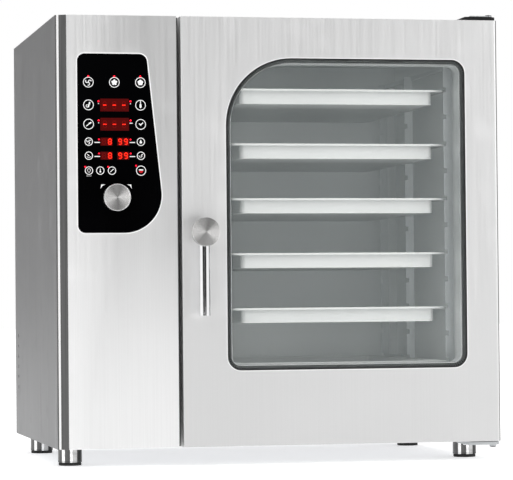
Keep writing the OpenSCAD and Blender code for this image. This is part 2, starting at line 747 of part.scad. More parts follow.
// Hinge plate above or below the door; side is +1 above and -1 below
module hinge_plate(side) {
    edge = side > 0 ? top_z : base_z;
    near = edge + side * hinge_gap;
    far = near + side * 7;
    foot = side > 0 ? [edge, far] : [far, edge];
    difference() {
        union() {
            plan_plate([[hinge_x - 62, 8], [hinge_x - 50, 3], [hinge_x + 1, 3], [hinge_x + 13, 15],
                [hinge_x + 13, frame_d + 44], [hinge_x - 62, frame_d + 44]],
                [min(near, far), max(near, far)]);
            box([hinge_x - 62, hinge_x + 13], [frame_d + 3, frame_d + 44], [min(foot), max(foot)]);
        }
        rod_z(hinge_x, hinge_d, [min(near, far) - 1, max(near, far) + 1], pin_dia / 2);
        for (x = [hinge_x - 46, hinge_x - 10])
            rod_z(x, frame_d + 22, [min(edge, far) - 1, max(edge, far) + 1], 4);
    }
}
module upper_hinge() color("black") hinge_plate(1);
module lower_hinge() color("silver") hinge_plate(-1);

module hinge_pins() color("silver")
    for (side = [-1, 1]) {
        edge = side > 0 ? top_z : base_z;
        near = edge + side * hinge_gap;
        far = near + side * 7;
        tip = edge - side * 24;
        rod_z(hinge_x, hinge_d, [min(tip, far), max(tip, far)], pin_dia / 2);
        rod_z(hinge_x, hinge_d, [min(far, far + side * 4), max(far, far + side * 4)], 8);
    }

module hinge_bushes() color("goldenrod")
    for (side = [-1, 1]) {
        edge = side > 0 ? top_z : base_z;
        inside = edge - side * 26;
        difference() {
            rod_z(hinge_x, hinge_d, [min(edge, inside), max(edge, inside)], pin_dia / 2 + 4);
            rod_z(hinge_x, hinge_d, [min(edge, inside) - 1, max(edge, inside) + 1], pin_dia / 2 + run_gap);
        }
    }

module latch_strike() color("silver") {
    // Plate on the front frame with a lip that the cam turns behind
    box([handle_x - 9, handle_x + 22], [frame_d - 3, frame_d], [handle_z + 6, handle_z + 46]);
    box([handle_x + 14, handle_x + 22], [frame_d - 9, frame_d - 3], [handle_z + 6, handle_z + 46]);
}

module latch_cam() color("silver") {
    rod_y(handle_x, [door_t + 0.5, door_t + 3.5], handle_z, 11);
    box([handle_x - 5, handle_x + 5], [door_t + 0.5, door_t + 3.2], [handle_z, handle_z + 30]);
}

// ---------- feet and fasteners ----------

pad_h = 7;
module feet() color("silver")
    for (x = foot_xs(), d = foot_ds()) {
        rod_z(x, d, [pad_h, base_z], foot_dia / 2);
        rod_z(x, d, [base_z, base_z + 28], 8);
    }

module foot_pads() color("black")
    for (x = foot_xs(), d = foot_ds()) {
        rod_z(x, d, [0, pad_h], foot_dia / 2 - 1.5);
    }

module cover_screws() color("gray") {
    for (x = [left_x + 20, left_x + 350, right_x - 350, right_x - 20], z = [base_z + 16, top_z - 16])
        rod_y(x, [body_d, body_d + 2.5], z, 4);
    for (x = [hinge_x - 46, hinge_x - 10], side = [-1, 1]) {
        edge = side > 0 ? top_z : base_z;
        far = edge + side * (hinge_gap + 7);
        rod_z(x, frame_d + 22, [min(far, far + side * 4), max(far, far + side * 4)], 6.5);
    }
}

// ---------- door ----------

module door_skin() color("gainsboro")
    difference() {
        plan_plate(concat([[door_x0, skin_d], [door_x0, 1], [door_x0 + 1, 0]],
            arc(door_x1 - edge_r, edge_r, edge_r, -90, 0), [[door_x1, skin_d]]), [base_z, top_z]);
        plan_plate(concat([[door_x0 + sheet_t, skin_d + 1], [door_x0 + sheet_t, sheet_t]],
            arc(door_x1 - edge_r, edge_r, edge_r - sheet_t, -90, 0), [[door_x1 - sheet_t, skin_d + 1]]),
            [base_z + sheet_t, top_z - sheet_t]);
        front_plate(rounded(window_x, window_z, window_radii), [-1, sheet_t + 1]);
        rod_y(handle_x, [-1, sheet_t + 1], handle_z, spindle_dia / 2 + 5);
        rod_z(hinge_x, hinge_d, [base_z - 1, base_z + 5], pin_dia / 2 + 4);
        rod_z(hinge_x, hinge_d, [top_z - 5, top_z + 1], pin_dia / 2 + 4);
    }

pane_margin = 12;
module door_glass() color("lightblue", 0.4)
    front_plate(grown(window_x, window_z, window_radii, pane_margin), [sheet_t, sheet_t + pane_t]);

module door_liner() color("silver") {
    inset = 14;
    x = [door_x0 + inset, door_x1 - inset - 8];
    z = [base_z + inset, top_z - inset];
    tube = 12;                            // opening of the liner inside the window's edge
    difference() {
        union() {
            box(x, [skin_d - sheet_t, door_t], z);
            box([door_x0 + sheet_t, door_x1 - sheet_t], [skin_d - sheet_t, skin_d],
                [base_z + sheet_t, top_z - sheet_t]);
            front_plate(grown(window_x, window_z, window_radii, -tube + sheet_t), [sheet_t + pane_t, door_t]);
        }
        difference() {
            box(wider(x, -sheet_t), [skin_d - sheet_t - 1, door_t - sheet_t], wider(z, -sheet_t));
            front_plate(grown(window_x, window_z, window_radii, -tube + sheet_t), [0, door_t + 1]);
        }
        front_plate(grown(window_x, window_z, window_radii, -tube), [0, door_t + 1]);
        rod_y(handle_x, [skin_d - 5, door_t + 1], handle_z, spindle_dia / 2 + 5);
        for (side = [0, 1])
            rod_z(hinge_x, hinge_d, wider([[base_z, top_z][side], [base_z, top_z][side]], 30), 10);
    }
}

module inner_glass() color("lightblue", 0.4)
    front_plate(grown(window_x, window_z, window_radii, -12), [door_t - 8, door_t - 3]);

// Gutter along the door's foot that catches the condensate
module drip_trough() color("silver") {
    x = [door_x0 + 24, door_x1 - 30];
    z = base_z + 40;
    difference() {
        box(x, [door_t, door_t + 10], [z, z + 14]);
        box(wider(x, -sheet_t), [door_t + sheet_t, door_t + 10 - sheet_t], [z + sheet_t, z + 15]);
    }
}

module spindle_bush() color("dimgray")
    difference() {
        union() {
            rod_y(handle_x, [-1.5, door_t], handle_z, spindle_dia / 2 + 5);
            rod_y(handle_x, [-1.5, 0], handle_z, spindle_dia / 2 + 8);
        }
        rod_y(handle_x, [-2, door_t + 1], handle_z, spindle_dia / 2 + run_gap);
    }

module handle_hub() color("silver") {
    rod_y(handle_x, [-handle_reach, -handle_reach + 14], handle_z, hub_dia / 2);
    rod_y(handle_x, [-handle_reach + 14, -2], handle_z, 19);
    rod_y(handle_x, [-2, door_t + 0.5], handle_z, spindle_dia / 2);
}

module handle_bar() color("silver") {
    d = -handle_reach + 14 + bar_dia / 2;
    difference() {
        translate([handle_x, face_y + d, handle_z - bar_l]) cylinder(h = bar_l - 4, r = bar_dia / 2);
        rod_y(handle_x, [d - bar_dia, 0], handle_z, 19);
    }
}

base_frame();
left_side_panel();
right_side_panel();
top_cover();
back_panel();
front_frame();
cavity_liner();
insulation_jacket();
partition_panel();
door_gasket();
seam_seal();
control_fascia();
glass_bezel();
control_glass();
display_board();
encoder_body();
power_board();
contactors();
cooling_fan_frame();
cooling_rotor();
cable_gland();
fan_motor();
heating_coils();
steam_generator();
water_valve();
drain_pipe();
drain_strainer();
exhaust_collar();
flap_motor();
vent_flap();
cavity_lamp();
baffle_panel();
rack_left();
rack_right();
pan_1();
pan_2();
pan_3();
pan_4();
pan_5();
pan_6();
upper_hinge();
lower_hinge();
hinge_pins();
latch_strike();
feet();
foot_pads();
cover_screws();
door_skin();
door_glass();
inner_glass();
door_liner();
drip_trough();
hinge_bushes();
spindle_bush();
handle_hub();
handle_bar();
latch_cam();
knob_stem();
control_knob();
fan_wheel();
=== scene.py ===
"""Combi steamer oven: finishes, printed control panel, trim and studio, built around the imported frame."""

import json
import logging
import math
from dataclasses import dataclass, field
from enum import Enum
from typing import Callable, Iterable, Optional, Sequence

import bmesh
import bpy
from mathutils import Matrix, Vector


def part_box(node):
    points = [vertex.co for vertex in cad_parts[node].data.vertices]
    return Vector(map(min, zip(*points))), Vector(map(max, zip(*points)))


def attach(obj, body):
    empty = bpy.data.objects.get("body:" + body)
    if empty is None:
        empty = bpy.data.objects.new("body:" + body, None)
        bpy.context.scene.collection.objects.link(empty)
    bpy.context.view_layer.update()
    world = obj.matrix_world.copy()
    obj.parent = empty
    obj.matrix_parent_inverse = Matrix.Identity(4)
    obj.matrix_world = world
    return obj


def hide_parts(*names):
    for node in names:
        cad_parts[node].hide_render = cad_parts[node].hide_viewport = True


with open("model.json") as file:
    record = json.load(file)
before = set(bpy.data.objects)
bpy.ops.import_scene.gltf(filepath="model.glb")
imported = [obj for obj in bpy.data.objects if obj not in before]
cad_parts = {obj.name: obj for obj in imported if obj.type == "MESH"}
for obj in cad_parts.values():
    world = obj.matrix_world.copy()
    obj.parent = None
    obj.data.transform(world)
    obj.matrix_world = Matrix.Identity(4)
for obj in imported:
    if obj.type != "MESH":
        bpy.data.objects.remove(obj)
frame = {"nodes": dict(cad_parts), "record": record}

LOG = logging.getLogger("oven")
MM = 0.001
FOOT_R = 28 * MM
Socket = bpy.types.NodeSocket

Point = tuple[float, float]
Colour = tuple[float, float, float]
Test = Callable[[Vector, Vector], bool]


# ---------------------------------------------------------------- measuring


@dataclass(frozen=True)
class Span:
    """Lowest and highest corner of a CAD node, in metres."""

    lo: Vector
    hi: Vector

    @classmethod
    def of(cls, node: str) -> "Span":
        """The span of one CAD node."""
        low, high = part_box(node)
        return cls(low, high)

    @property
    def mid(self) -> Vector:
        """The middle of the span."""
        return (self.lo + self.hi) / 2

    @property
    def size(self) -> Vector:
        """The span's width, depth and height."""
        return self.hi - self.lo


def arc(centre: Point, radius: float, start: float, end: float, steps: int = 12) -> list[Point]:
    """Points along an arc.

    Args:
        centre: Middle of the arc.
        radius: Its radius.
        start: First angle in degrees.
        end: Last angle in degrees.
        steps: Number of chords.

    Returns:
        The points from start to end.
    """
    turns = [math.radians(start + (end - start) * i / steps) for i in range(steps + 1)]
    return [(centre[0] + radius * math.cos(t), centre[1] + radius * math.sin(t)) for t in turns]


def circle(centre: Point, radius: float, sides: int = 40) -> list[Point]:
    """Points round a circle, anticlockwise."""
    return arc(centre, radius, 0, 360, sides)[:-1]


def rounded(low: Point, high: Point, radii: Sequence[float], margin: float = 0.0) -> list[Point]:
    """Rounded rectangle moved outwards by a margin.

    Args:
        low: Lower left corner.
        high: Upper right corner.
        radii: Radii from the lower left corner, anticlockwise.
        margin: How far each side moves outwards.

    Returns:
        The outline, anticlockwise.
    """
    x0, z0, x1, z1 = low[0] - margin, low[1] - margin, high[0] + margin, high[1] + margin
    a, b, c, d = [max(r + margin, MM) for r in radii]
    return (
        arc((x0 + a, z0 + a), a, 180, 270)
        + arc((x1 - b, z0 + b), b, 270, 360)
        + arc((x1 - c, z1 - c), c, 0, 90)
        + arc((x0 + d, z1 - d), d, 90, 180, 28)
    )


# ---------------------------------------------------------------- modelling steps


class Bench:
    """Modelling steps in object and edit mode, shared by every sub-assembly."""

    @staticmethod
    def clear() -> None:
        """Leaves object mode on and nothing selected."""
        if bpy.context.object is not None and bpy.context.object.mode != "OBJECT":
            bpy.ops.object.mode_set(mode="OBJECT")
        bpy.ops.object.select_all(action="DESELECT")

    @staticmethod
    def take(piece: bpy.types.Object) -> None:
        """Selects one piece and makes it active."""
        Bench.clear()
        piece.select_set(True)
        bpy.context.view_layer.objects.active = piece

    @staticmethod
    def seat(piece: bpy.types.Object) -> None:
        """Puts a piece's place, turn and size into its mesh."""
        Bench.take(piece)
        bpy.ops.object.transform_apply(location=True, rotation=True, scale=True)

    @staticmethod
    def block(name: str, low: Vector, high: Vector) -> bpy.types.Object:
        """A box between two corners.

        Args:
            name: Name of the piece.
            low: Lowest corner.
            high: Highest corner.

        Returns:
            The new piece.
        """
        Bench.clear()
        bpy.ops.mesh.primitive_cube_add(size=1, location=(low + high) / 2, scale=high - low)
        piece = bpy.context.object
        piece.name = name
        Bench.seat(piece)
        return piece

    @staticmethod
    def rod(name: str, foot: Vector, head: Vector, radius: float, sides: int = 48) -> bpy.types.Object:
        """A round bar between two points.

        Args:
            name: Name of the piece.
            foot: Middle of one end.
            head: Middle of the other end.
            radius: Radius of the bar.
            sides: Number of sides.

        Returns:
            The new piece.
        """
        Bench.clear()
        run = head - foot
        turn = run.to_track_quat("Z", "Y").to_euler()
        bpy.ops.mesh.primitive_cylinder_add(
            vertices=sides, radius=radius, depth=run.length, location=(foot + head) / 2, rotation=turn
        )
        piece = bpy.context.object
        piece.name = name
        Bench.seat(piece)
        return piece

    @staticmethod
    def ring(name: str, centre: Vector, axis: str, major: float, minor: float) -> bpy.types.Object:
        """A round bead about an axis.

        Args:
            name: Name of the piece.
            centre: Middle of the ring.
            axis: "X", "Y" or "Z".
            major: Radius of the ring.
            minor: Radius of the bead.

        Returns:
            The new piece.
        """
        Bench.clear()
        turn = {"X": (0, math.pi / 2, 0), "Y": (math.pi / 2, 0, 0), "Z": (0, 0, 0)}[axis]
        bpy.ops.mesh.primitive_torus_add(
            location=centre, rotation=turn, major_radius=major, minor_radius=minor,
            major_segments=64, minor_segments=10,
        )
        piece = bpy.context.object
        piece.name = name
        Bench.seat(piece)
        return piece

    @staticmethod
    def pick_faces(piece: bpy.types.Object, test: Test) -> None:
        """Opens edit mode with the faces selected that pass a test of centre and normal."""
        Bench.take(piece)
        bpy.ops.object.mode_set(mode="EDIT")
        bpy.ops.mesh.select_mode(type="FACE")
        bpy.ops.mesh.select_all(action="DESELECT")
        mesh = bmesh.from_edit_mesh(piece.data)
        for face in mesh.faces:
            face.select_set(test(face.calc_center_median(), face.normal))
        bmesh.update_edit_mesh(piece.data)

    @staticmethod
    def inset(piece: bpy.types.Object, test: Test, width: float, depth: float) -> None:
        """Insets the faces that pass a test and moves them along their normal.

        Args:
            piece: Piece to shape.
            test: Test of a face's centre and normal.
            width: Width of the border left round the faces.
            depth: How far the inner faces rise, or sink if it is negative.
        """
        Bench.pick_faces(piece, test)
        bpy.ops.mesh.inset(thickness=width, depth=depth)
        bpy.ops.object.mode_set(mode="OBJECT")

    @staticmethod
    def modify(piece: bpy.types.Object, kind: str, **settings: object) -> None:
        """Adds a modifier with its settings and applies it."""
        Bench.take(piece)
        modifier = piece.modifiers.new(kind.title(), kind)
        for key, value in settings.items():
            setattr(modifier, key, value)
        bpy.ops.object.modifier_apply(modifier=modifier.name)

    @staticmethod
    def round_off(piece: bpy.types.Object, width: float, segments: int = 3, angle: float = 30) -> None:
        """Rounds the sharp edges of a piece and keeps its flat faces flat.

        Args:
            piece: Piece to shape.
            width: Width of the rounding.
            segments: Faces across the rounding.
            angle: Sharpest angle in degrees that is left alone.
        """
        Bench.modify(
            piece, "BEVEL", width=width, segments=segments, limit_method="ANGLE",
            angle_limit=math.radians(angle), use_clamp_overlap=True, miter_outer="MITER_ARC",
        )
        Bench.take(piece)
        bpy.ops.object.shade_smooth_by_angle(angle=math.radians(40))
        Bench.modify(piece, "WEIGHTED_NORMAL", weight=100, keep_sharp=True)

    @staticmethod
    def smooth(piece: bpy.types.Object) -> None:
        """Shades a turned piece smooth, but for its sharp edges."""
        Bench.take(piece)
        bpy.ops.object.shade_smooth_by_angle(angle=math.radians(60))

    @staticmethod
    def joined(name: str, parts: Sequence[bpy.types.Object]) -> bpy.types.Object:
        """Several objects made one piece.

        Args:
            name: Name of the joined piece.
            parts: The objects, which become the piece's own islands.

        Returns:
            The joined piece.
        """
        Bench.clear()
        for part in parts:
            part.select_set(True)
        bpy.context.view_layer.objects.active = parts[0]
        if len(parts) > 1:
            bpy.ops.object.join()
        parts[0].name = name
        return parts[0]

    @staticmethod
    def refined(node: str, name: str, width: float, segments: int = 2, angle: float = 30) -> bpy.types.Object:
        """A merged copy of a CAD node with its sharp edges rounded.

        Args:
            node: CAD node that the copy stands for.
            name: Name of the new piece.
            width: Width of the rounding.
            segments: Faces across the rounding.
            angle: Sharpest angle in degrees that is left alone.

        Returns:
            The new piece, riding on nothing yet.
        """
        source = frame["nodes"][node]
        mesh = source.data.copy()
        mesh.materials.clear()
        piece = bpy.data.objects.new(name, mesh)
        bpy.context.scene.collection.objects.link(piece)
        Bench.take(piece)
        bpy.ops.mesh.customdata_custom_splitnormals_clear()
        bpy.ops.object.mode_set(mode="EDIT")
        bpy.ops.mesh.select_all(action="SELECT")
        bpy.ops.mesh.remove_doubles(threshold=1e-6)
        bpy.ops.mesh.dissolve_limited(angle_limit=math.radians(0.2))
        bpy.ops.object.mode_set(mode="OBJECT")
        Bench.round_off(piece, width, segments, angle)
        return piece


@dataclass
class Print:
    """Flat artwork on a face that looks towards -Y, given a small thickness.

    Attributes:
        front: Y of the artwork's outer face.
        thick: Its thickness, towards the object.
    """

    front: float
    thick: float = 0.25 * MM
    points: list[tuple[float, float, float]] = field(default_factory=list)
    faces: list[tuple[int, ...]] = field(default_factory=list)

    def fill(self, outline: Sequence[Point]) -> None:
        """Adds one filled outline, anticlockwise."""
        first = len(self.points)
        self.points += [(x, self.front, z) for x, z in outline]
        self.faces.append(tuple(range(first, first + len(outline))))

    def band(self, outer: Sequence[Point], inner: Sequence[Point]) -> None:
        """Adds the band between two outlines with the same number of points."""
        first, count = len(self.points), len(outer)
        self.points += [(x, self.front, z) for x, z in [*outer, *inner]]
        for i in range(count):
            j = (i + 1) % count
            self.faces.append((first + i, first + j, first + count + j, first + count + i))

    def ring(self, centre: Point, radius: float, width: float) -> None:
        """Adds a ring whose line is centred on a radius."""
        self.band(circle(centre, radius + width / 2), circle(centre, radius - width / 2))

    def disc(self, centre: Point, radius: float, sides: int = 20) -> None:
        """Adds a filled disc."""
        self.fill(circle(centre, radius, sides))

    def bar(self, start: Point, end: Point, width: float) -> None:
        """Adds a straight line with pointed ends."""
        along = Vector((end[0] - start[0], end[1] - start[1])).normalized()
        side = Vector((-along.y, along.x)) * width / 2
        tip = along * width / 2
        a, b = Vector(start), Vector(end)
        corners = [a - side, b - side, b + tip, b + side, a + side, a - tip]
        self.fill([(p.x, p.y) for p in corners])

    def line(self, points: Sequence[Point], width: float) -> None:
        """Adds a bent line of equal width."""
        for start, end in zip(points, points[1:]):
            self.bar(start, end, width)

    def make(self, name: str) -> bpy.types.Object:
        """Makes the artwork one piece.

        Args:
            name: Name of the piece.

        Returns:
            The piece, with closed shapes whose faces point outwards.
        """
        mesh = bpy.data.meshes.new(name)
        mesh.from_pydata(self.points, [], self.faces)
        piece = bpy.data.objects.new(name, mesh)
        bpy.context.scene.collection.objects.link(piece)
        Bench.modify(piece, "SOLIDIFY", thickness=self.thick, offset=-1)
        return piece


def copies(name: str, model: bpy.types.Object, places: Iterable[Vector]) -> bpy.types.Object:
    """One modelled shape repeated at many places, as one piece.

    Args:
        name: Name of the piece.
        model: The shape, which is used up.
        places: How far each copy is moved.

    Returns:
        The piece that holds all copies.
    """
    corners = [v.co.copy() for v in model.data.vertices]
    faces = [tuple(p.vertices) for p in model.data.polygons]
    points: list[Vector] = []
    sides: list[tuple[int, ...]] = []
    for place in places:
        first = len(points)
        points += [c + place for c in corners]
        sides += [tuple(first + i for i in f) for f in faces]
    bpy.data.objects.remove(model)
    mesh = bpy.data.meshes.new(name)
    mesh.from_pydata(points, [], sides)
    piece = bpy.data.objects.new(name, mesh)
    bpy.context.scene.collection.objects.link(piece)
    return piece


def settle(
    piece: bpy.types.Object, body: str, material: bpy.types.Material,
    replaces: Sequence[str] = (),
) -> bpy.types.Object:
    """Dresses a finished piece and fixes it to its body.

    Args:
        piece: The finished piece.
        body: Body that it rides on.
        material: Its finish.
        replaces: CAD nodes that it stands for.

    Returns:
        The same piece.
    """
    piece.data.materials.clear()
    piece.data.materials.append(material)
    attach(piece, body)
    if replaces:
        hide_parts(*replaces)
    LOG.info("%s on %s: %d faces", piece.name, body, len(piece.data.polygons))
    return piece


# ---------------------------------------------------------------- finishes


class Grain(Enum):
    """Direction that brushing runs in."""

    WIDTH = (3, 420, 420)
    DEPTH = (420, 3, 420)
    HEIGHT = (420, 420, 3)


class Graph:
    """One material's node tree round a single Principled shader."""

    def __init__(self, name: str) -> None:
        """Starts an empty material with its shader and output."""
        self.material = bpy.data.materials.new(name)
        self.material.use_nodes = True
        self.tree = self.material.node_tree
        self.tree.nodes.clear()
        output = self.node("ShaderNodeOutputMaterial")
        self.shader = self.node("ShaderNodeBsdfPrincipled")
        self.join(self.shader.outputs[0], output.inputs["Surface"])
        self.coords = self.node("ShaderNodeTexCoord").outputs["Object"]

    def node(self, kind: str, **settings: object) -> bpy.types.Node:
        """Adds a node and sets its options."""
        made = self.tree.nodes.new(kind)
        for key, value in settings.items():
            setattr(made, key, value)
        return made

    def join(self, source: Socket, target: Socket) -> None:
        """Links two sockets."""
        self.tree.links.new(source, target)

    def feed(self, target: Socket, value: object) -> None:
        """Links a socket to another socket, or sets it to a plain value."""
        if isinstance(value, Socket):
            self.join(value, target)
        else:
            target.default_value = value

    def place(self, scale: Sequence[float] = (1, 1, 1), shift: Sequence[float] = (0, 0, 0)) -> Socket:
        """Object coordinates moved by a shift and then scaled."""
        mapping = self.node("ShaderNodeMapping")
        self.join(self.coords, mapping.inputs["Vector"])
        mapping.inputs["Scale"].default_value = scale
        mapping.inputs["Location"].default_value = [s * m for s, m in zip(scale, shift)]
        return mapping.outputs[0]

    def axis(self, index: int, place: Optional[Socket] = None) -> Socket:
        """One of the three object coordinates."""
        split = self.node("ShaderNodeSeparateXYZ")
        self.join(place or self.coords, split.inputs[0])
        return split.outputs[index]

    def noise(self, place: Socket, scale: float, detail: float = 3.0) -> Socket:
        """Cloudy noise between 0 and 1."""
        made = self.node("ShaderNodeTexNoise")
        self.join(place, made.inputs["Vector"])
        made.inputs["Scale"].default_value = scale
        made.inputs["Detail"].default_value = detail
        return made.outputs["Fac"]

    def cells(self, place: Socket, scale: float) -> Socket:
        """A random grey for each crystal of a spangled surface."""
        made = self.node("ShaderNodeTexVoronoi")
        self.join(place, made.inputs["Vector"])
        made.inputs["Scale"].default_value = scale
        return made.outputs["Color"]

    def span(self, value: Socket, low: float, high: float, a: float, b: float) -> Socket:
        """Maps a value from one range to another, smoothly and within its ends."""
        made = self.node("ShaderNodeMapRange", clamp=True, interpolation_type="SMOOTHSTEP")
        self.join(value, made.inputs["Value"])
        for key, number in (("From Min", low), ("From Max", high), ("To Min", a), ("To Max", b)):
            made.inputs[key].default_value = number
        return made.outputs[0]

    def maths(self, kind: str, a: object, b: object = 0.0) -> Socket:
        """One arithmetic step."""
        made = self.node("ShaderNodeMath", operation=kind)
        self.feed(made.inputs[0], a)
        self.feed(made.inputs[1], b)
        return made.outputs[0]

    def mix(self, share: object, a: object, b: object, kind: str = "MIX") -> Socket:
        """Mixes two colours."""
        made = self.node("ShaderNodeMix", data_type="RGBA", blend_type=kind)
        self.feed(made.inputs[0], share)
        self.feed(made.inputs[6], a if isinstance(a, Socket) else (*a, 1))
        self.feed(made.inputs[7], b if isinstance(b, Socket) else (*b, 1))
        return made.outputs[2]

    def ramp(self, value: Socket, stops: Sequence[tuple[float, Colour]]) -> Socket:
        """Colours along a value between 0 and 1."""
        made = self.node("ShaderNodeValToRGB")
        self.join(value, made.inputs[0])
        band = made.color_ramp
        while len(band.elements) < len(stops):
            band.elements.new(0.5)
        for element, (at, colour) in zip(band.elements, stops):
            element.position = at
            element.color = (*colour, 1)
        return made.outputs[0]

    def bump(self, height: Socket, strength: float, distance: float) -> None:
        """Feeds a height to the shader's normal."""
        made = self.node("ShaderNodeBump")
        made.inputs["Strength"].default_value = strength
        made.inputs["Distance"].default_value = distance
        self.join(height, made.inputs["Height"])
        self.join(made.outputs[0], self.shader.inputs["Normal"])

    def put(self, **values: object) -> None:
        """Sets or links the shader's sockets, named with underscores for spaces."""
        for key, value in values.items():
            self.feed(self.shader.inputs[key.replace("_", " ")], value)


def dimmed(colour: Colour, share: float) -> Colour:
    """A colour made darker or lighter by a share."""
    return tuple(min(c * share, 1.0) for c in colour)


@dataclass(frozen=True)
class SatinSteel:
    """Stainless sheet with a brushed grain, faint clouding and finger marks.

    Attributes:
        name: Name of the material.
        colour: Mean colour.
        rough: Mean roughness.
        grain: Direction of the brushing.
        metal: How metallic the sheet is.
        grain_depth: Depth of the brushing.
        cloud: How much the tone drifts over the sheet.
    """

    name: str
    colour: Colour
    rough: float
    grain: Grain = Grain.HEIGHT
    metal: float = 1.0
    grain_depth: float = 0.02
    cloud: float = 0.04

    def toned(self, graph: Graph) -> object:
        """The base colour before the grain is laid over it; plain here."""
        return self.colour

    def build(self) -> bpy.types.Material:
        """Makes the material."""
        g = Graph(self.name)
        streak = g.noise(g.place(self.grain.value), 1.0, 5.0)
        drift = g.noise(g.place(), 2.2, 2.0)
        marks = g.noise(g.place(shift=(3.1, 1.7, 0.4)), 14.0, 6.0)
        shade = g.mix(g.span(drift, 0.3, 0.7, 0.0, 1.0), (1 - self.cloud,) * 3, (1.0, 1.0, 1.0))
        clouded = g.mix(1.0, self.toned(g), shade, "MULTIPLY")
        lined = g.mix(g.span(streak, 0.3, 0.7, 0.0, 0.09), clouded, dimmed(self.colour, 0.72))
        g.put(
            Base_Color=lined,
            Metallic=self.metal,
            Roughness=g.maths(
                "ADD", g.span(streak, 0.3, 0.7, self.rough - 0.04, self.rough + 0.05),
                g.span(marks, 0.52, 0.75, 0.0, 0.05),
            ),
        )
        g.bump(streak, self.grain_depth, 0.1 * MM)
        return g.material


@dataclass(frozen=True)
class DoorSteel(SatinSteel):
    """Tall sheet with a tone painted to change towards its foot, and painted shade at one side.

    Attributes:
        foot_z: Z where it has the foot's tone.
        head_z: Z where it has its own tone.
        foot: Colour at the foot.
        shade_edge_x: X beyond which the whole sheet is painted dark as painted shade, its side face too.
    """

    foot_z: float = 0.0
    head_z: float = 1.0
    foot: Colour = (0.7, 0.7, 0.7)
    shade_edge_x: float = 100.0

    def toned(self, graph: Graph) -> object:
        """Paints the sheet's tone from its foot upwards, and paints shade on all that lies beyond
        shade_edge_x.
        """
        rise = graph.span(graph.axis(2), self.foot_z, self.head_z, 0.0, 1.0)
        face = graph.mix(rise, self.foot, self.colour)
        return graph.mix(graph.maths("GREATER_THAN", graph.axis(0), self.shade_edge_x), face, (0.04, 0.04, 0.04))


@dataclass(frozen=True)
class SideSteel(DoorSteel):
    """Side sheet with painted highlights, light lines where it is folded.

    Attributes:
        folds: Y of each fold's painted highlight.
        fold_w: Width of a fold's painted highlight.
    """

    folds: tuple[float, ...] = ()
    fold_w: float = 1.8 * MM

    def toned(self, graph: Graph) -> object:
        """Adds a painted highlight, a light line, at each fold."""
        tone = super().toned(graph)
        for fold in self.folds:
            away = graph.maths("ABSOLUTE", graph.maths("SUBTRACT", graph.axis(1), fold))
            fold_highlight = graph.maths("LESS_THAN", away, self.fold_w / 2)
            tone = graph.mix(fold_highlight, tone, dimmed(self.colour, 1.35))
        return tone


@dataclass(frozen=True)
class FasciaSteel(SatinSteel):
    """The control fascia's sheet, lighter outwards and downwards by painted reflection, with a dark facet of
    painted shade.

    Attributes:
        fold_x: X of the fold between the facet and the face.
        inner_x: X where the sheet has its own tone.
        foot_z: Z of the light end.
        head_z: Z of the dark end.
        bright: Colour of the painted reflection at the light end.
        facet: Colour of the painted shade on the slanting facet.
        lead: First and last X of the painted highlight along the leading edge.
    """

    fold_x: float = 0.0
    inner_x: float = 1.0
    foot_z: float = 0.0
    head_z: float = 1.0
    bright: Colour = (1.0, 1.0, 1.0)
    facet: Colour = (0.12, 0.12, 0.12)
    lead: Point = (0.0, 0.0)

    def toned(self, graph: Graph) -> object:
        """Paints reflection on the face towards the outer edge and the foot, shade on the facet and a
        highlight on the leading edge.
        """
        x = graph.axis(0)
        across = graph.span(x, self.fold_x, self.inner_x, 1.0, 0.0)
        down = graph.span(graph.axis(2), self.foot_z, self.head_z, 0.8, 0.0)
        face = graph.mix(graph.maths("MAXIMUM", across, down), self.colour, self.bright)
        slant = graph.mix(graph.maths("GREATER_THAN", x, self.fold_x - 0.6 * MM), self.facet, face)
        start, end = self.lead
        leading = graph.maths(
            "MULTIPLY", graph.maths("GREATER_THAN", x, start), graph.maths("LESS_THAN", x, end)
        )
        return graph.mix(leading, slant, (1.0, 1.0, 1.0))


@dataclass(frozen=True)
class PolishedSteel:
    """Bright stainless bar with hairline scratches.

    Attributes:
        name: Name of the material.
        colour: Mean colour.
        rough: Mean roughness.
        scratch: Direction of the scratches.
    """

    name: str
    colour: Colour = (0.86, 0.86, 0.87)
    rough: float = 0.05
    scratch: Grain = Grain.HEIGHT

    def build(self) -> bpy.types.Material:
        """Makes the material."""
        g = Graph(self.name)
        hair = g.noise(g.place(self.scratch.value), 2.0, 4.0)
        haze = g.noise(g.place(), 40.0, 3.0)
        g.put(
            Base_Color=g.mix(g.span(haze, 0.4, 0.7, 0.0, 0.25), self.colour, dimmed(self.colour, 0.88)),
            Metallic=1.0,
            Roughness=g.maths("ADD", g.span(hair, 0.35, 0.7, self.rough * 0.6, self.rough * 1.6),
                              g.span(haze, 0.5, 0.8, 0.0, 0.03)),
        )
        g.bump(hair, 0.03, 0.05 * MM)
        return g.material


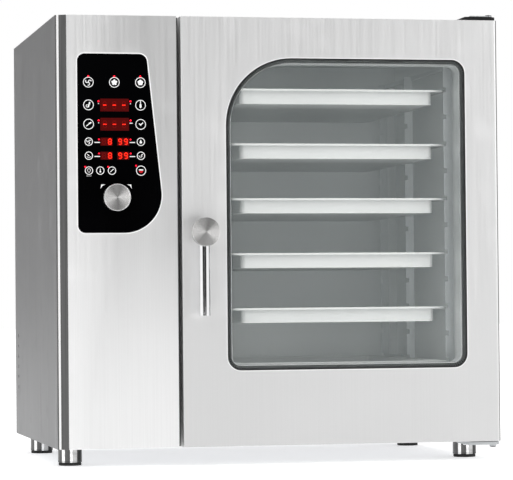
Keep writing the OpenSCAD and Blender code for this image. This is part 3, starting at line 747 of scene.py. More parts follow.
@dataclass(frozen=True)
class TurnedSteel:
    """Face turned on a lathe: fine rings over wedges of painted reflection.

    Attributes:
        name: Name of the material.
        centre: A point on the lathe axis, which runs along Y.
        wedges: Angle in degrees and brightness of the painted reflection, from -180 to 180.
        colour: Colour at full brightness.
        ring_pitch: Distance between the turning marks.
        rough: Mean roughness.
    """

    name: str
    centre: Vector
    wedges: tuple[Point, ...]
    colour: Colour = (0.95, 0.94, 0.93)
    ring_pitch: float = 0.45 * MM
    rough: float = 0.3

    def build(self) -> bpy.types.Material:
        """Makes the material."""
        g = Graph(self.name)
        local = g.place(shift=-self.centre)
        across, up = g.axis(0, local), g.axis(2, local)
        angle = g.maths("ARCTAN2", up, across)
        turn = g.maths("ADD", g.maths("DIVIDE", angle, 2 * math.pi), 0.5)
        squares = g.maths("ADD", g.maths("MULTIPLY", across, across), g.maths("MULTIPLY", up, up))
        radius = g.maths("SQRT", squares)
        grooves = g.maths("SINE", g.maths("MULTIPLY", radius, 2 * math.pi / self.ring_pitch))
        chatter = g.noise(g.place((60, 60, 60)), 20.0, 2.0)
        # The wedges are painted reflections, fanned round the lathe axis.
        stops = [((a + 180) / 360, dimmed(self.colour, b)) for a, b in self.wedges]
        fan = g.ramp(turn, stops)
        lined = g.mix(g.span(grooves, -1.0, 1.0, 0.0, 0.1), fan, dimmed(self.colour, 0.35))
        g.put(
            Base_Color=g.mix(g.span(chatter, 0.4, 0.7, 0.0, 0.1), lined, dimmed(self.colour, 0.5)),
            Metallic=0.82,
            Roughness=g.span(grooves, -1.0, 1.0, self.rough - 0.05, self.rough + 0.06),
        )
        g.bump(grooves, 0.2, 0.04 * MM)
        return g.material


@dataclass(frozen=True)
class BandedSteel:
    """Bright feet with dark and light bands of painted reflection round each one.

    Attributes:
        name: Name of the material.
        middle: Point halfway between the feet.
        reach: Distance of each foot's axis from that point, in X and in Y.
        bands: Angle in degrees from the front and brightness of the painted reflection, from -180 to 180.
    """

    name: str
    middle: Vector
    reach: Point
    bands: tuple[Point, ...]

    def build(self) -> bpy.types.Material:
        """Makes the material."""
        g = Graph(self.name)
        local = g.place(shift=-self.middle)
        x, y = [self.from_axis(g, g.axis(i, local), self.reach[i]) for i in (0, 1)]
        angle = g.maths("ARCTAN2", x, g.maths("MULTIPLY", y, -1.0))
        turn = g.maths("ADD", g.maths("DIVIDE", angle, 2 * math.pi), 0.5)
        haze = g.noise(g.place(), 90.0, 4.0)
        bands = g.ramp(turn, [((a + 180) / 360, (b, b, b)) for a, b in self.bands])
        g.put(
            Base_Color=g.mix(g.span(haze, 0.45, 0.75, 0.0, 0.3), bands, (0.2, 0.2, 0.2)),
            Metallic=1.0,
            Roughness=g.span(haze, 0.3, 0.7, 0.08, 0.2),
        )
        g.bump(haze, 0.03, 0.05 * MM)
        return g.material

    @staticmethod
    def from_axis(graph: Graph, value: Socket, reach: float) -> Socket:
        """Distance from the nearer foot's axis, with its sign."""
        side = graph.maths("SIGN", value)
        return graph.maths("MULTIPLY", graph.maths("SUBTRACT", graph.maths("ABSOLUTE", value), reach), side)


@dataclass(frozen=True)
class Galvanised:
    """Zinc-coated inner steel with its spangle.

    Attributes:
        name: Name of the material.
        colour: Mean colour.
        rough: Mean roughness.
        spangle: Crystals in a metre.
    """

    name: str
    colour: Colour
    rough: float = 0.42
    spangle: float = 90.0

    def build(self) -> bpy.types.Material:
        """Makes the material."""
        g = Graph(self.name)
        crystal = g.axis(0, g.cells(g.place(), self.spangle))
        dust = g.noise(g.place(), 35.0, 4.0)
        dull, bright = dimmed(self.colour, 0.86), dimmed(self.colour, 1.12)
        tone = g.mix(g.span(crystal, 0.0, 1.0, 0.0, 1.0), dull, bright)
        g.put(
            Base_Color=g.mix(g.span(dust, 0.5, 0.8, 0.0, 0.35), tone, dimmed(self.colour, 0.7)),
            Metallic=0.9,
            Roughness=g.span(crystal, 0.0, 1.0, self.rough - 0.08, self.rough + 0.1),
        )
        g.bump(dust, 0.08, 0.1 * MM)
        return g.material


@dataclass(frozen=True)
class Moulded:
    """Moulded plastic, rubber or paint with a fine skin texture.

    Attributes:
        name: Name of the material.
        colour: Mean colour.
        rough: Mean roughness.
        skin: Texture marks in a metre.
        depth: Depth of the texture.
        metal: How metallic it is, for paint with flake.
        scuff: Share of the surface that is worn lighter.
    """

    name: str
    colour: Colour
    rough: float = 0.5
    skin: float = 900.0
    depth: float = 0.12
    metal: float = 0.0
    scuff: float = 0.25

    def build(self) -> bpy.types.Material:
        """Makes the material."""
        g = Graph(self.name)
        grit = g.noise(g.place(), self.skin, 4.0)
        wear = g.noise(g.place(), 22.0, 6.0)
        pale = tuple(min(c * 1.5 + 0.03, 1.0) for c in self.colour)
        worn = g.mix(g.span(wear, 0.52, 0.72, 0.0, self.scuff), self.colour, pale)
        g.put(
            Base_Color=g.mix(g.span(grit, 0.35, 0.7, 0.0, 0.22), worn, dimmed(self.colour, 0.6)),
            Metallic=self.metal,
            Roughness=g.maths("ADD", g.span(grit, 0.3, 0.7, self.rough - 0.06, self.rough + 0.06),
                              g.span(wear, 0.5, 0.75, 0.0, 0.08)),
        )
        g.bump(grit, self.depth, 0.15 * MM)
        return g.material


@dataclass(frozen=True)
class InkedGlass:
    """Glass inked black from behind, with faint wiping marks in its gloss.

    Attributes:
        name: Name of the material.
        colour: Colour of the ink.
    """

    name: str
    colour: Colour = (0.0007, 0.0007, 0.0009)

    def build(self) -> bpy.types.Material:
        """Makes the material."""
        g = Graph(self.name)
        wipe = g.noise(g.place((8, 8, 2)), 6.0, 4.0)
        depth = g.noise(g.place(), 3.0, 2.0)
        g.put(
            Base_Color=g.mix(g.span(depth, 0.3, 0.7, 0.0, 1.0), self.colour, dimmed(self.colour, 2.0)),
            Metallic=0.0,
            Roughness=g.span(wipe, 0.4, 0.7, 0.05, 0.11),
        )
        g.put(Specular_IOR_Level=0.03)
        g.bump(wipe, 0.01, 0.05 * MM)
        return g.material


@dataclass(frozen=True)
class ClearPane:
    """Window glass that lets light through, with a faint film of steam marks.

    Attributes:
        name: Name of the material.
        tint: Colour of the glass.
        body: Share of the light that the pane keeps.
    """

    name: str
    tint: Colour
    body: float

    def build(self) -> bpy.types.Material:
        """Makes the material."""
        g = Graph(self.name)
        film = g.noise(g.place((3, 3, 1.2)), 3.0, 3.0)
        g.put(
            Base_Color=g.mix(g.span(film, 0.4, 0.7, 0.0, 1.0), self.tint, dimmed(self.tint, 0.88)),
            Metallic=0.0,
            Roughness=g.span(film, 0.4, 0.8, 0.02, 0.07),
            Alpha=self.body,
        )
        g.bump(film, 0.004, 0.1 * MM)
        return g.material


@dataclass(frozen=True)
class Lit:
    """A lit or printed mark: its own colour with a glow, painted glow where the mark is no lamp.

    Attributes:
        name: Name of the material.
        colour: Colour of the mark.
        glow: Strength of the glow.
        patchy: How much the tone varies over the mark.
    """

    name: str
    colour: Colour
    glow: float
    patchy: float = 0.25

    def build(self) -> bpy.types.Material:
        """Makes the material."""
        g = Graph(self.name)
        grain = g.noise(g.place(), 420.0, 2.0)
        tone = g.mix(g.span(grain, 0.35, 0.65, 0.0, self.patchy), self.colour, dimmed(self.colour, 0.45))
        g.put(Base_Color=tone, Metallic=0.0, Roughness=g.span(grain, 0.3, 0.7, 0.3, 0.45),
              Emission_Color=tone, Emission_Strength=self.glow, Specular_IOR_Level=0.08)
        g.bump(grain, 0.05, 0.05 * MM)
        return g.material


@dataclass(frozen=True)
class Board:
    """Circuit board with tracks under its lacquer.

    Attributes:
        name: Name of the material.
        colour: Colour of the lacquer.
    """

    name: str
    colour: Colour = (0.02, 0.16, 0.06)

    def build(self) -> bpy.types.Material:
        """Makes the material."""
        g = Graph(self.name)
        brick = g.node("ShaderNodeTexBrick")
        g.join(g.place((1, 1, 1)), brick.inputs["Vector"])
        brick.inputs["Scale"].default_value = 160.0
        brick.inputs["Mortar Size"].default_value = 0.04
        track = brick.outputs["Fac"]
        weave = g.noise(g.place(), 700.0, 2.0)
        g.put(
            Base_Color=g.mix(g.span(track, 0.0, 1.0, 0.0, 0.6),
                             g.mix(g.span(weave, 0.3, 0.7, 0.0, 0.3), self.colour, dimmed(self.colour, 0.6)),
                             (0.25, 0.42, 0.18)),
            Metallic=0.0,
            Roughness=g.span(weave, 0.3, 0.7, 0.3, 0.42),
        )
        g.bump(track, 0.2, 0.1 * MM)
        return g.material


@dataclass(frozen=True)
class Wool:
    """Mineral wool with its fibres.

    Attributes:
        name: Name of the material.
        colour: Mean colour.
    """

    name: str
    colour: Colour = (0.62, 0.55, 0.3)

    def build(self) -> bpy.types.Material:
        """Makes the material."""
        g = Graph(self.name)
        fibre = g.noise(g.place((240, 900, 240)), 1.0, 8.0)
        clump = g.noise(g.place(), 30.0, 5.0)
        tone = g.mix(g.span(fibre, 0.3, 0.7, 0.0, 1.0), dimmed(self.colour, 0.6), dimmed(self.colour, 1.3))
        g.put(Base_Color=g.mix(g.span(clump, 0.4, 0.7, 0.0, 0.4), tone, dimmed(self.colour, 0.5)),
              Metallic=0.0, Roughness=g.span(fibre, 0.3, 0.7, 0.8, 0.98))
        g.bump(g.maths("ADD", fibre, clump), 0.7, 1.5 * MM)
        return g.material


@dataclass(frozen=True)
class HeatedMetal:
    """Element sheath or bronze with temper colours and oxide.

    Attributes:
        name: Name of the material.
        colour: Clean colour.
        oxide: Colour where it is hot or worn.
        rough: Mean roughness.
    """

    name: str
    colour: Colour
    oxide: Colour
    rough: float = 0.38

    def build(self) -> bpy.types.Material:
        """Makes the material."""
        g = Graph(self.name)
        bands = g.noise(g.place(), 12.0, 3.0)
        fine = g.noise(g.place(), 260.0, 4.0)
        g.put(
            Base_Color=g.mix(g.span(bands, 0.35, 0.65, 0.0, 1.0), self.colour, self.oxide),
            Metallic=0.9,
            Roughness=g.span(fine, 0.3, 0.7, self.rough - 0.08, self.rough + 0.14),
        )
        g.bump(fine, 0.12, 0.1 * MM)
        return g.material


@dataclass(frozen=True)
class FrostedLamp:
    """Prismatic lamp glass with a warm glow.

    Attributes:
        name: Name of the material.
        colour: Colour of the glass.
    """

    name: str
    colour: Colour = (0.95, 0.93, 0.86)

    def build(self) -> bpy.types.Material:
        """Makes the material."""
        g = Graph(self.name)
        prism = g.axis(0, g.cells(g.place(), 260.0))
        g.put(Base_Color=g.mix(g.span(prism, 0.0, 1.0, 0.0, 0.5), self.colour, dimmed(self.colour, 0.8)),
              Metallic=0.0, Roughness=g.span(prism, 0.0, 1.0, 0.15, 0.4),
              Emission_Color=(*self.colour, 1), Emission_Strength=0.6)
        g.bump(prism, 0.5, 0.6 * MM)
        return g.material


def sheet_finishes() -> dict[str, bpy.types.Material]:
    """Finishes of the record's material slots.

    Returns:
        The material of each slot.
    """
    fascia = Span.of("control_fascia")
    chamber = Span.of("cavity_liner")
    facet_w = 24.5 * MM
    side_y = Span.of("left_side_panel").lo.y
    finishes = {
        # The door sheet's darker foot and its dark right edge are painted shade.
        "brushed_panel": DoorSteel(
            "door_sheet", (0.87, 0.87, 0.87), 0.36, metal=0.75, cloud=0.02,
            foot_z=fascia.lo.z, head_z=fascia.hi.z - 250 * MM, foot=(0.74, 0.74, 0.74),
            shade_edge_x=Span.of("door_skin").hi.x - 3.5 * MM,
        ),
        # The fascia's lighter outer and lower parts are painted reflection, its facet painted shade, its
        # leading strip a painted highlight.
        "fascia": FasciaSteel(
            "fascia_sheet", (0.72, 0.72, 0.72), 0.36, metal=0.75, cloud=0.02,
            fold_x=fascia.lo.x + facet_w, inner_x=fascia.hi.x - 90 * MM, foot_z=fascia.lo.z + 60 * MM,
            head_z=fascia.hi.z - 250 * MM, lead=(fascia.lo.x + 3 * MM, fascia.lo.x + 7.5 * MM),
        ),
        # Near-white, hardly metallic paint on the bright edges: painted highlight.
        "trim_edge": SatinSteel("trim_edge", (0.98, 0.98, 0.98), 0.5, metal=0.1, cloud=0.02),
        # The side sheet is painted darker than the door's steel, and darker still towards its foot: painted
        # shade.
        "cabinet_panel": SideSteel(
            "cabinet_painted_shade", (0.45, 0.45, 0.455), 0.42, metal=0.85, cloud=0.06,
            foot_z=fascia.lo.z, head_z=fascia.hi.z - 150 * MM, foot=(0.25, 0.25, 0.255),
            folds=(side_y + 9 * MM, side_y + 34 * MM),
        ),
        "top_sheet": SatinSteel(
            "top_sheet", (0.5, 0.5, 0.51), 0.4, Grain.WIDTH, metal=0.85, cloud=0.06,
        ),
        "back_sheet": SatinSteel(
            "back_sheet", (0.44, 0.44, 0.45), 0.44, Grain.WIDTH, metal=0.85, cloud=0.07,
        ),
        "chamber_steel": DoorSteel(
            "chamber_sheet", (0.76, 0.785, 0.78), 0.46, metal=0.6, cloud=0.1,
            foot_z=chamber.lo.z, head_z=chamber.mid.z, foot=(0.98, 1.0, 0.995),
        ),
        "rack_steel": SatinSteel("rack_strip", (0.56, 0.58, 0.59), 0.4, metal=0.7, cloud=0.06),
        "pan_steel": SatinSteel(
            "pan_sheet", (0.29, 0.295, 0.29), 0.42, Grain.WIDTH, metal=0.35, cloud=0.05,
        ),
        # A lighter copy of the pan steel for the lowest pan: painted light.
        "low_pan_steel": SatinSteel(
            "low_pan_painted_light", (0.62, 0.63, 0.62), 0.42, Grain.WIDTH, metal=0.35, cloud=0.05,
        ),
        "polished_steel": PolishedSteel("polished_bar"),
        "structure_steel": Galvanised("inner_frame_zinc", (0.56, 0.57, 0.59)),
        "boiler_steel": SatinSteel("boiler_shell", (0.55, 0.55, 0.56), 0.34, Grain.WIDTH, cloud=0.1),
        "black_glass": InkedGlass("inked_glass"),
        "door_glass": ClearPane("door_pane", (0.60, 0.66, 0.66), 0.06),
        "seal_rubber": Moulded("seal_rubber", (0.035, 0.036, 0.038), 0.62),
        "black_plastic": Moulded("black_plastic", (0.02, 0.02, 0.021), 0.45),
        "black_metal": Moulded("black_paint", (0.012, 0.012, 0.013), 0.32, skin=500.0, metal=0.3),
        "board_green": Board("circuit_board"),
        "motor_grey": Moulded("motor_paint", (0.2, 0.22, 0.24), 0.4, skin=420.0, metal=0.2),
        "valve_blue": Moulded("valve_blue", (0.03, 0.12, 0.34), 0.4),
        "insulation": Wool("mineral_wool"),
        "element_steel": HeatedMetal("element_sheath", (0.34, 0.33, 0.31), (0.16, 0.11, 0.09)),
        "bronze": HeatedMetal("bush_bronze", (0.66, 0.43, 0.2), (0.45, 0.27, 0.12), 0.3),
        "lamp_glass": FrostedLamp("lamp_glass"),
        "pad_rubber": Moulded("pad_rubber", (0.012, 0.012, 0.012), 0.7, skin=700.0, scuff=0.5),
        "drain_plastic": Moulded("drain_plastic", (0.3, 0.31, 0.32), 0.45),
    }
    return {key: finish.build() for key, finish in finishes.items()}


OWN_FINISH = {
    "top_cover": "top_sheet",
    "back_panel": "back_sheet",
    "front_frame": "back_sheet",
    "rack_left": "rack_steel",
    "rack_right": "rack_steel",
    "steam_generator": "boiler_steel",
    "foot_pads": "pad_rubber",
    "drain_pipe": "drain_plastic",
    "control_fascia": "fascia",
    "handle_hub": "polished_steel",
    "control_knob": "polished_steel",
}


def dress_nodes(finishes: dict[str, bpy.types.Material]) -> None:
    """Gives every CAD node the finish of its slot, or its own."""
    for part in frame["record"]["subparts"]:
        name = part["node"]
        finish = finishes[OWN_FINISH.get(name, part["material_slot"])]
        for slot in frame["nodes"][name].material_slots:
            slot.material = finish
        LOG.info("%s dressed in %s", name, finish.name)


# ---------------------------------------------------------------- cabinet


@dataclass
class Cabinet:
    """Outer panels, feet, hinges and fasteners."""

    finishes: dict[str, bpy.types.Material]
    edge: float = 0.5 * MM

    def build(self) -> None:
        """Builds and dresses every piece of the cabinet."""
        self.fascia()
        self.feet()
        self.hinges()
        self.screws()

    def fascia(self) -> None:
        """Fascia with softened folds, and the glass's rim in a painted highlight."""
        piece = Bench.refined("control_fascia", "fascia_sheet", self.edge, 3)
        settle(piece, "cabinet", self.finishes["fascia"], ["control_fascia"])
        rim = Bench.refined("glass_bezel", "glass_rim", 0.3 * MM)
        settle(rim, "cabinet", self.finishes["trim_edge"], ["glass_bezel"])

    def feet(self) -> None:
        """Feet with turned edges, a bead under the plate, and their rubber pads, the steel banded with
        painted reflections.
        """
        span = Span.of("feet")
        # Bands of painted reflection round each foot.
        bands = (
            (-180, 0.3), (-102, 0.2), (-60, 0.12), (-50, 0.12), (-47, 1.0), (-34, 1.0), (-32, 0.12),
            (-8, 0.09), (-6, 1.0), (3, 1.0), (6, 0.5), (26, 0.45), (30, 0.05), (78, 0.03), (100, 0.35),
            (180, 0.3),
        )
        reach = (span.size.x / 2 - FOOT_R, span.size.y / 2 - FOOT_R)
        painted_reflection_steel = BandedSteel("foot_painted_reflections", span.mid, reach, bands).build()
        sleeves = Bench.refined("feet", "foot_sleeves", 1.2 * MM, 3)
        settle(sleeves, "cabinet", painted_reflection_steel, ["feet"])
        pads = Bench.refined("foot_pads", "foot_soles", 1.5 * MM, 3)
        settle(pads, "cabinet", self.finishes["pad_rubber"], ["foot_pads"])
        pad_top = Span.of("foot_pads").hi.z
        rings = []
        for x in (span.lo.x + FOOT_R, span.hi.x - FOOT_R):
            for y in (span.lo.y + FOOT_R, span.hi.y - FOOT_R):
                for z in (pad_top + 3 * MM, pad_top + 31 * MM):
                    centre = Vector((x, y, z))
                    rings.append(Bench.ring("foot_ring", centre, "Z", FOOT_R - 0.4 * MM, 0.8 * MM))
        for ring in rings:
            Bench.smooth(ring)
        settle(Bench.joined("foot_rings", rings), "cabinet", painted_reflection_steel)

    def hinges(self) -> None:
        """Hinge plates with softened edges, the bright cover plate and the domed bolt caps."""
        upper = Bench.refined("upper_hinge", "upper_hinge_plate", 0.8 * MM, 3)
        # The upper hinge plate gets black paint as painted shade; the lower plate stays plain steel.
        settle(upper, "cabinet", self.finishes["black_metal"], ["upper_hinge"])
        lower = Bench.refined("lower_hinge", "lower_hinge_plate", 0.8 * MM, 3)
        settle(lower, "cabinet", self.finishes["rack_steel"], ["lower_hinge"])
        plate, pins = Span.of("upper_hinge"), Span.of("hinge_pins")
        axis = pins.mid
        head_r = 8 * MM
        low = Vector((plate.lo.x + 14 * MM, plate.lo.y + 4 * MM, plate.hi.z))
        high = Vector((axis.x - head_r - 1.5 * MM, plate.hi.y - 34 * MM, plate.hi.z + 2.5 * MM))
        cover = Bench.block("hinge_cover", low, high)
        Bench.inset(cover, lambda c, n: n.z > 0.9, 1.5 * MM, 0.4 * MM)
        Bench.round_off(cover, 0.5 * MM)
        settle(cover, "cabinet", self.finishes["rack_steel"])
        caps = []
        for z, way in ((pins.hi.z, 1), (pins.lo.z, -1)):
            foot = Vector((axis.x, axis.y, z))
            cap = Bench.rod("hinge_cap", foot, foot + Vector((0, 0, way * 1.2 * MM)), head_r - 0.5 * MM)
            Bench.inset(cap, lambda c, n, w=way: n.z * w > 0.9, 3.5 * MM, 1.0 * MM)
            Bench.round_off(cap, 0.4 * MM)
            caps.append(cap)
        settle(Bench.joined("hinge_bolt_caps", caps), "cabinet", self.finishes["black_metal"])

    def screws(self) -> None:
        """Cover screws with rounded heads and a driver's recess."""
        heads = Bench.refined("cover_screws", "cover_screw_heads", 0.8 * MM, 3)
        settle(heads, "cabinet", self.finishes["polished_steel"], ["cover_screws"])
        screws = Span.of("cover_screws")
        back = Span.of("back_panel")
        foot = Vector((0, screws.hi.y, 0))
        model = Bench.rod("recess", foot, foot + Vector((0, 0.3 * MM, 0)), 2 * MM, 6)
        Bench.inset(model, lambda c, n: n.y > 0.9, 0.4 * MM, -0.2 * MM)
        places = [
            Vector((x, 0, z))
            for x in (back.lo.x + 20 * MM, back.lo.x + 350 * MM, back.hi.x - 350 * MM, back.hi.x - 20 * MM)
            for z in (back.lo.z + 16 * MM, back.hi.z - 16 * MM)
        ]
        recess = copies("screw_recesses", model, places)
        settle(recess, "cabinet", self.finishes["black_plastic"])


# ---------------------------------------------------------------- control panel


class Sign(Enum):
    """Generic function signs printed in the touch rings."""

    SWIRL = "fan and heat"
    BLOSSOM = "fan and steam"
    SUN = "steam"
    FLAME = "temperature"
    BOTTLE = "core probe"
    NEEDLE = "probe temperature"
    CHECK = "time"
    BLADES = "fan speed"
    DROP = "humidity"
    DIAL = "program"
    WAVE = "phase"
    LAMP = "light"
    SPRAY = "rinse"
    SLASH = "stop"
    EMBLEM = "start"


@dataclass(frozen=True)
class Touch:
    """One touch ring of the panel.

    Attributes:
        column: Distance from the glass's left edge.
        row: Distance below the glass's top edge.
        radius: Radius of the ring.
        sign: What is printed in it.
    """

    column: float
    row: float
    radius: float
    sign: Sign


@dataclass
class ControlPanel:
    """Printed and lit marks on the control glass, and the knob."""

    finishes: dict[str, bpy.types.Material]
    columns: tuple[float, float, float] = (25.7 * MM, 85.5 * MM, 145.6 * MM)
    mode_row: float = 65.6 * MM
    wide_rows: tuple[float, float] = (117.4 * MM, 161.2 * MM)
    narrow_rows: tuple[float, float] = (201 * MM, 233 * MM)
    last_row: float = 267 * MM
    ring_r: float = 11.3 * MM
    small_ring_r: float = 8.6 * MM
    line: float = 1.5 * MM
    led_r: float = 2.1 * MM
    window_size: Point = (66 * MM, 29 * MM)

    def __post_init__(self) -> None:
        """Reads where the glass is and opens the sheets that the marks are drawn on."""
        rim = Span.of("glass_bezel")
        lip = 2.5 * MM
        face = Span.of("control_glass").lo.y
        self.left, self.top = rim.lo.x + lip, rim.hi.z - lip
        self.white = Print(face - 0.15 * MM)
        self.red = Print(face - 0.15 * MM)
        self.dark = Print(face - 0.1 * MM)
        self.faint = Print(face - 0.2 * MM)
        self.digits = Print(face - 0.3 * MM)
        self.emblem = Print(face - 0.2 * MM)

    def at(self, column: float, row: float) -> Point:
        """A place on the glass, from its left and top edges."""
        return self.left + column, self.top - row

    def build(self) -> None:
        """Draws every mark, makes the pieces and builds the knob."""
        for touch in self.touches():
            self.touch(touch)
        self.mode_leds()
        for row in self.wide_rows:
            self.wide_window(row)
        for row in self.narrow_rows:
            self.narrow_window(row)
        self.last_leds()
        self.knob_marks()
        # The white and red ink, the unlit display windows and the unlit segments glow as painted glow; only
        # the LEDs and lit segments are lamps.
        for name, sheet, material in (
            ("panel_print", self.white, Lit("white_ink_painted_glow", (0.86, 0.86, 0.86), 0.25)),
            ("panel_leds", self.red, Lit("red_led", (1.0, 0.008, 0.03), 1.3)),
            ("display_windows", self.dark, Lit("unlit_display_painted_glow", (0.055, 0.0005, 0.0005), 0.7, 0.4)),
            ("unlit_segments", self.faint, Lit("unlit_segment", (0.10, 0.001, 0.001), 0.7, 0.3)),
            ("display_digits", self.digits, Lit("lit_segment", (1.0, 0.02, 0.008), 1.4)),
            ("start_emblem", self.emblem, Lit("red_ink_painted_glow", (0.55, 0.015, 0.02), 0.3)),
        ):
            settle(sheet.make(name), "cabinet", material.build())
        self.knob()

    def touches(self) -> list[Touch]:
        """The touch rings, column by column."""
        a, b, c = self.columns
        big, small = self.ring_r, self.small_ring_r
        wide, narrow = self.wide_rows, self.narrow_rows
        return [
            Touch(a, self.mode_row, big, Sign.SWIRL),
            Touch(b, self.mode_row, big, Sign.BLOSSOM),
            Touch(c, self.mode_row, big, Sign.SUN),
            Touch(a, wide[0], big, Sign.FLAME),
            Touch(c, wide[0], big, Sign.BOTTLE),
            Touch(a, wide[1], big, Sign.NEEDLE),
            Touch(c, wide[1], big, Sign.CHECK),
            Touch(a, narrow[0], small, Sign.BLADES),
            Touch(c, narrow[0], small, Sign.DROP),
            Touch(a, narrow[1], small, Sign.DIAL),
            Touch(c, narrow[1], small, Sign.WAVE),
            Touch(a, self.last_row, small, Sign.LAMP),
            Touch(a + 26 * MM, self.last_row, small, Sign.SPRAY),
            Touch(a + 52.8 * MM, self.last_row, small, Sign.SLASH),
            Touch(c, self.last_row, big - 0.6 * MM, Sign.EMBLEM),
        ]

    def touch(self, touch: Touch) -> None:
        """Draws one ring and its sign."""
        x, z = self.at(touch.column, touch.row)
        r = touch.radius
        self.white.ring((x, z), r, self.line)

        def spot(across: float, up: float) -> Point:
            """A place in the ring, in shares of its radius."""
            return x + across * r, z + up * r

        def bar(x0: float, z0: float, x1: float, z1: float, width: float = 0.16) -> None:
            """A line in the ring, in shares of its radius."""
            self.white.bar(spot(x0, z0), spot(x1, z1), width * r)

        def dot(across: float, up: float, radius: float, sides: int = 16) -> None:
            """A dot in the ring, in shares of its radius."""
            self.white.disc(spot(across, up), radius * r, sides)

        def curve(cx: float, cz: float, radius: float, start: float, end: float, width: float = 0.14) -> None:
            """A curved line in the ring, in shares of its radius."""
            self.white.line(arc(spot(cx, cz), radius * r, start, end, 8), width * r)

        sign = touch.sign
        if sign in (Sign.SWIRL, Sign.BLADES):
            for turn in range(0, 360, 120):
                t = math.radians(turn + 20)
                curve(0.34 * math.cos(t), 0.34 * math.sin(t), 0.3, turn + 30, turn + 190, 0.2)
            dot(0, 0, 0.12)
        elif sign is Sign.BLOSSOM:
            for turn in range(0, 360, 72):
                t = math.radians(turn + 90)
                dot(0.38 * math.cos(t), 0.38 * math.sin(t), 0.23)
            dot(0, 0, 0.2, 10)
        elif sign is Sign.SUN:
            self.white.fill(arc(spot(0, 0), 0.62 * r, 90, 450, 5)[:-1])
        elif sign is Sign.FLAME:
            bar(-0.05, -0.4, 0.25, 0.5, 0.3)
            curve(-0.22, -0.2, 0.25, 90, 300, 0.16)
            dot(0.2, 0.3, 0.18)
        elif sign is Sign.BOTTLE:
            bar(0, -0.42, 0, 0.12, 0.4)
            bar(0, 0.2, 0, 0.95, 0.14)
        elif sign is Sign.NEEDLE:
            bar(-0.45, -0.4, 0.15, 0.12, 0.16)
            bar(0.1, 0.1, 0.45, 0.3, 0.3)
        elif sign is Sign.CHECK:
            bar(0, -0.12, 0.42, 0.3, 0.2)
            bar(0, -0.12, -0.3, 0.12, 0.2)
            dot(0, -0.12, 0.16)
        elif sign is Sign.DROP:
            dot(0, -0.15, 0.34)
            self.white.fill([spot(-0.3, -0.05), spot(0.3, -0.05), spot(0, 0.6)])
        elif sign is Sign.DIAL:
            bar(-0.35, 0.35, 0.1, -0.1, 0.18)
            curve(0, 0, 0.55, 200, 340, 0.12)
        elif sign is Sign.WAVE:
            curve(-0.1, 0.05, 0.42, 190, 350, 0.16)
            bar(0.05, 0.1, 0.5, 0.45, 0.18)
        elif sign is Sign.LAMP:
            curve(0, 0.1, 0.42, -40, 220, 0.12)
            bar(-0.2, -0.4, 0.2, -0.4, 0.14)
        elif sign is Sign.SPRAY:
            dot(0, -0.3, 0.22)
            bar(0, -0.2, 0, 0.45, 0.16)
        elif sign is Sign.SLASH:
            bar(-0.4, -0.35, 0.4, 0.4, 0.18)
        elif sign is Sign.EMBLEM:
            bar(-0.4, 0.16, 0.4, 0.16, 0.24)
            self.emblem.fill(arc(spot(0, -0.02), 0.46 * r, 180, 360, 10))

    def mode_leds(self) -> None:
        """A lamp above each mode ring."""
        for column in self.columns:
            self.red.disc(self.at(column, self.mode_row - self.ring_r - 2.4 * MM), self.led_r)

    def wide_window(self, row: float) -> None:
        """A three-digit display that shows dashes, its lamps and the marks beside them."""
        x, z = self.at(self.columns[1], row)
        width, height = self.window_size
        low, high = (x - width / 2, z - height / 2), (x + width / 2, z + height / 2)
        self.dark.fill(rounded(low, high, [MM] * 4))
        digit_w, digit_h = 9.4 * MM, 18 * MM
        for step in (-1, 0, 1):
            centre = (x + step * 22 * MM - 0.5 * MM, z - 0.2 * MM)
            self.digit(centre, digit_w, digit_h, "")
            dash = digit_w * 0.36
            self.digits.bar((centre[0] - dash, centre[1]), (centre[0] + dash, centre[1]), 2.0 * MM)
        for side in (-1, 1):
            at = (x + side * (width / 2 + 3.8 * MM), z + 8.6 * MM)
            self.red.disc(at, self.led_r)
            below = at[1] - 5.6 * MM
            self.white.bar((at[0] - 0.8 * MM, below), (at[0] + 0.8 * MM, below), 1.6 * MM)
        if row == self.wide_rows[1]:
            edge, beside = x + width / 2, z + 2.4 * MM
            self.white.bar((edge + 1.6 * MM, beside), (edge + 8 * MM, beside), 1.7 * MM)

    def narrow_window(self, row: float) -> None:
        """Two pairs of digits with a lamp and a printed label at each side."""
        x, z = self.at(self.columns[1], row)
        width, height = self.window_size[0], 18 * MM
        digit_w, digit_h = 9.2 * MM, 14 * MM
        for shift, text in ((-24.5 * MM, ""), (-11.2 * MM, "8"), (12.2 * MM, "9"), (25.6 * MM, "9")):
            self.digit((x + shift, z), digit_w, digit_h, text)
        for side in (-1, 1):
            low = x - width / 2 if side < 0 else x + 5.5 * MM
            self.dark.fill(rounded((low, z - height / 2), (low + 27.5 * MM, z + height / 2), [MM] * 4))
            at = (x + side * (width / 2 + 3.4 * MM), z + 5 * MM)
            self.red.disc(at, self.led_r * 0.9)
            near = x + side * (width / 2 + 1.6 * MM)
            far = x + side * (width / 2 + 13.2 * MM)
            start, end = min(near, far), max(near, far)
            self.white.bar((start, z - 1.8 * MM), (end, z - 1.8 * MM), 1.9 * MM)

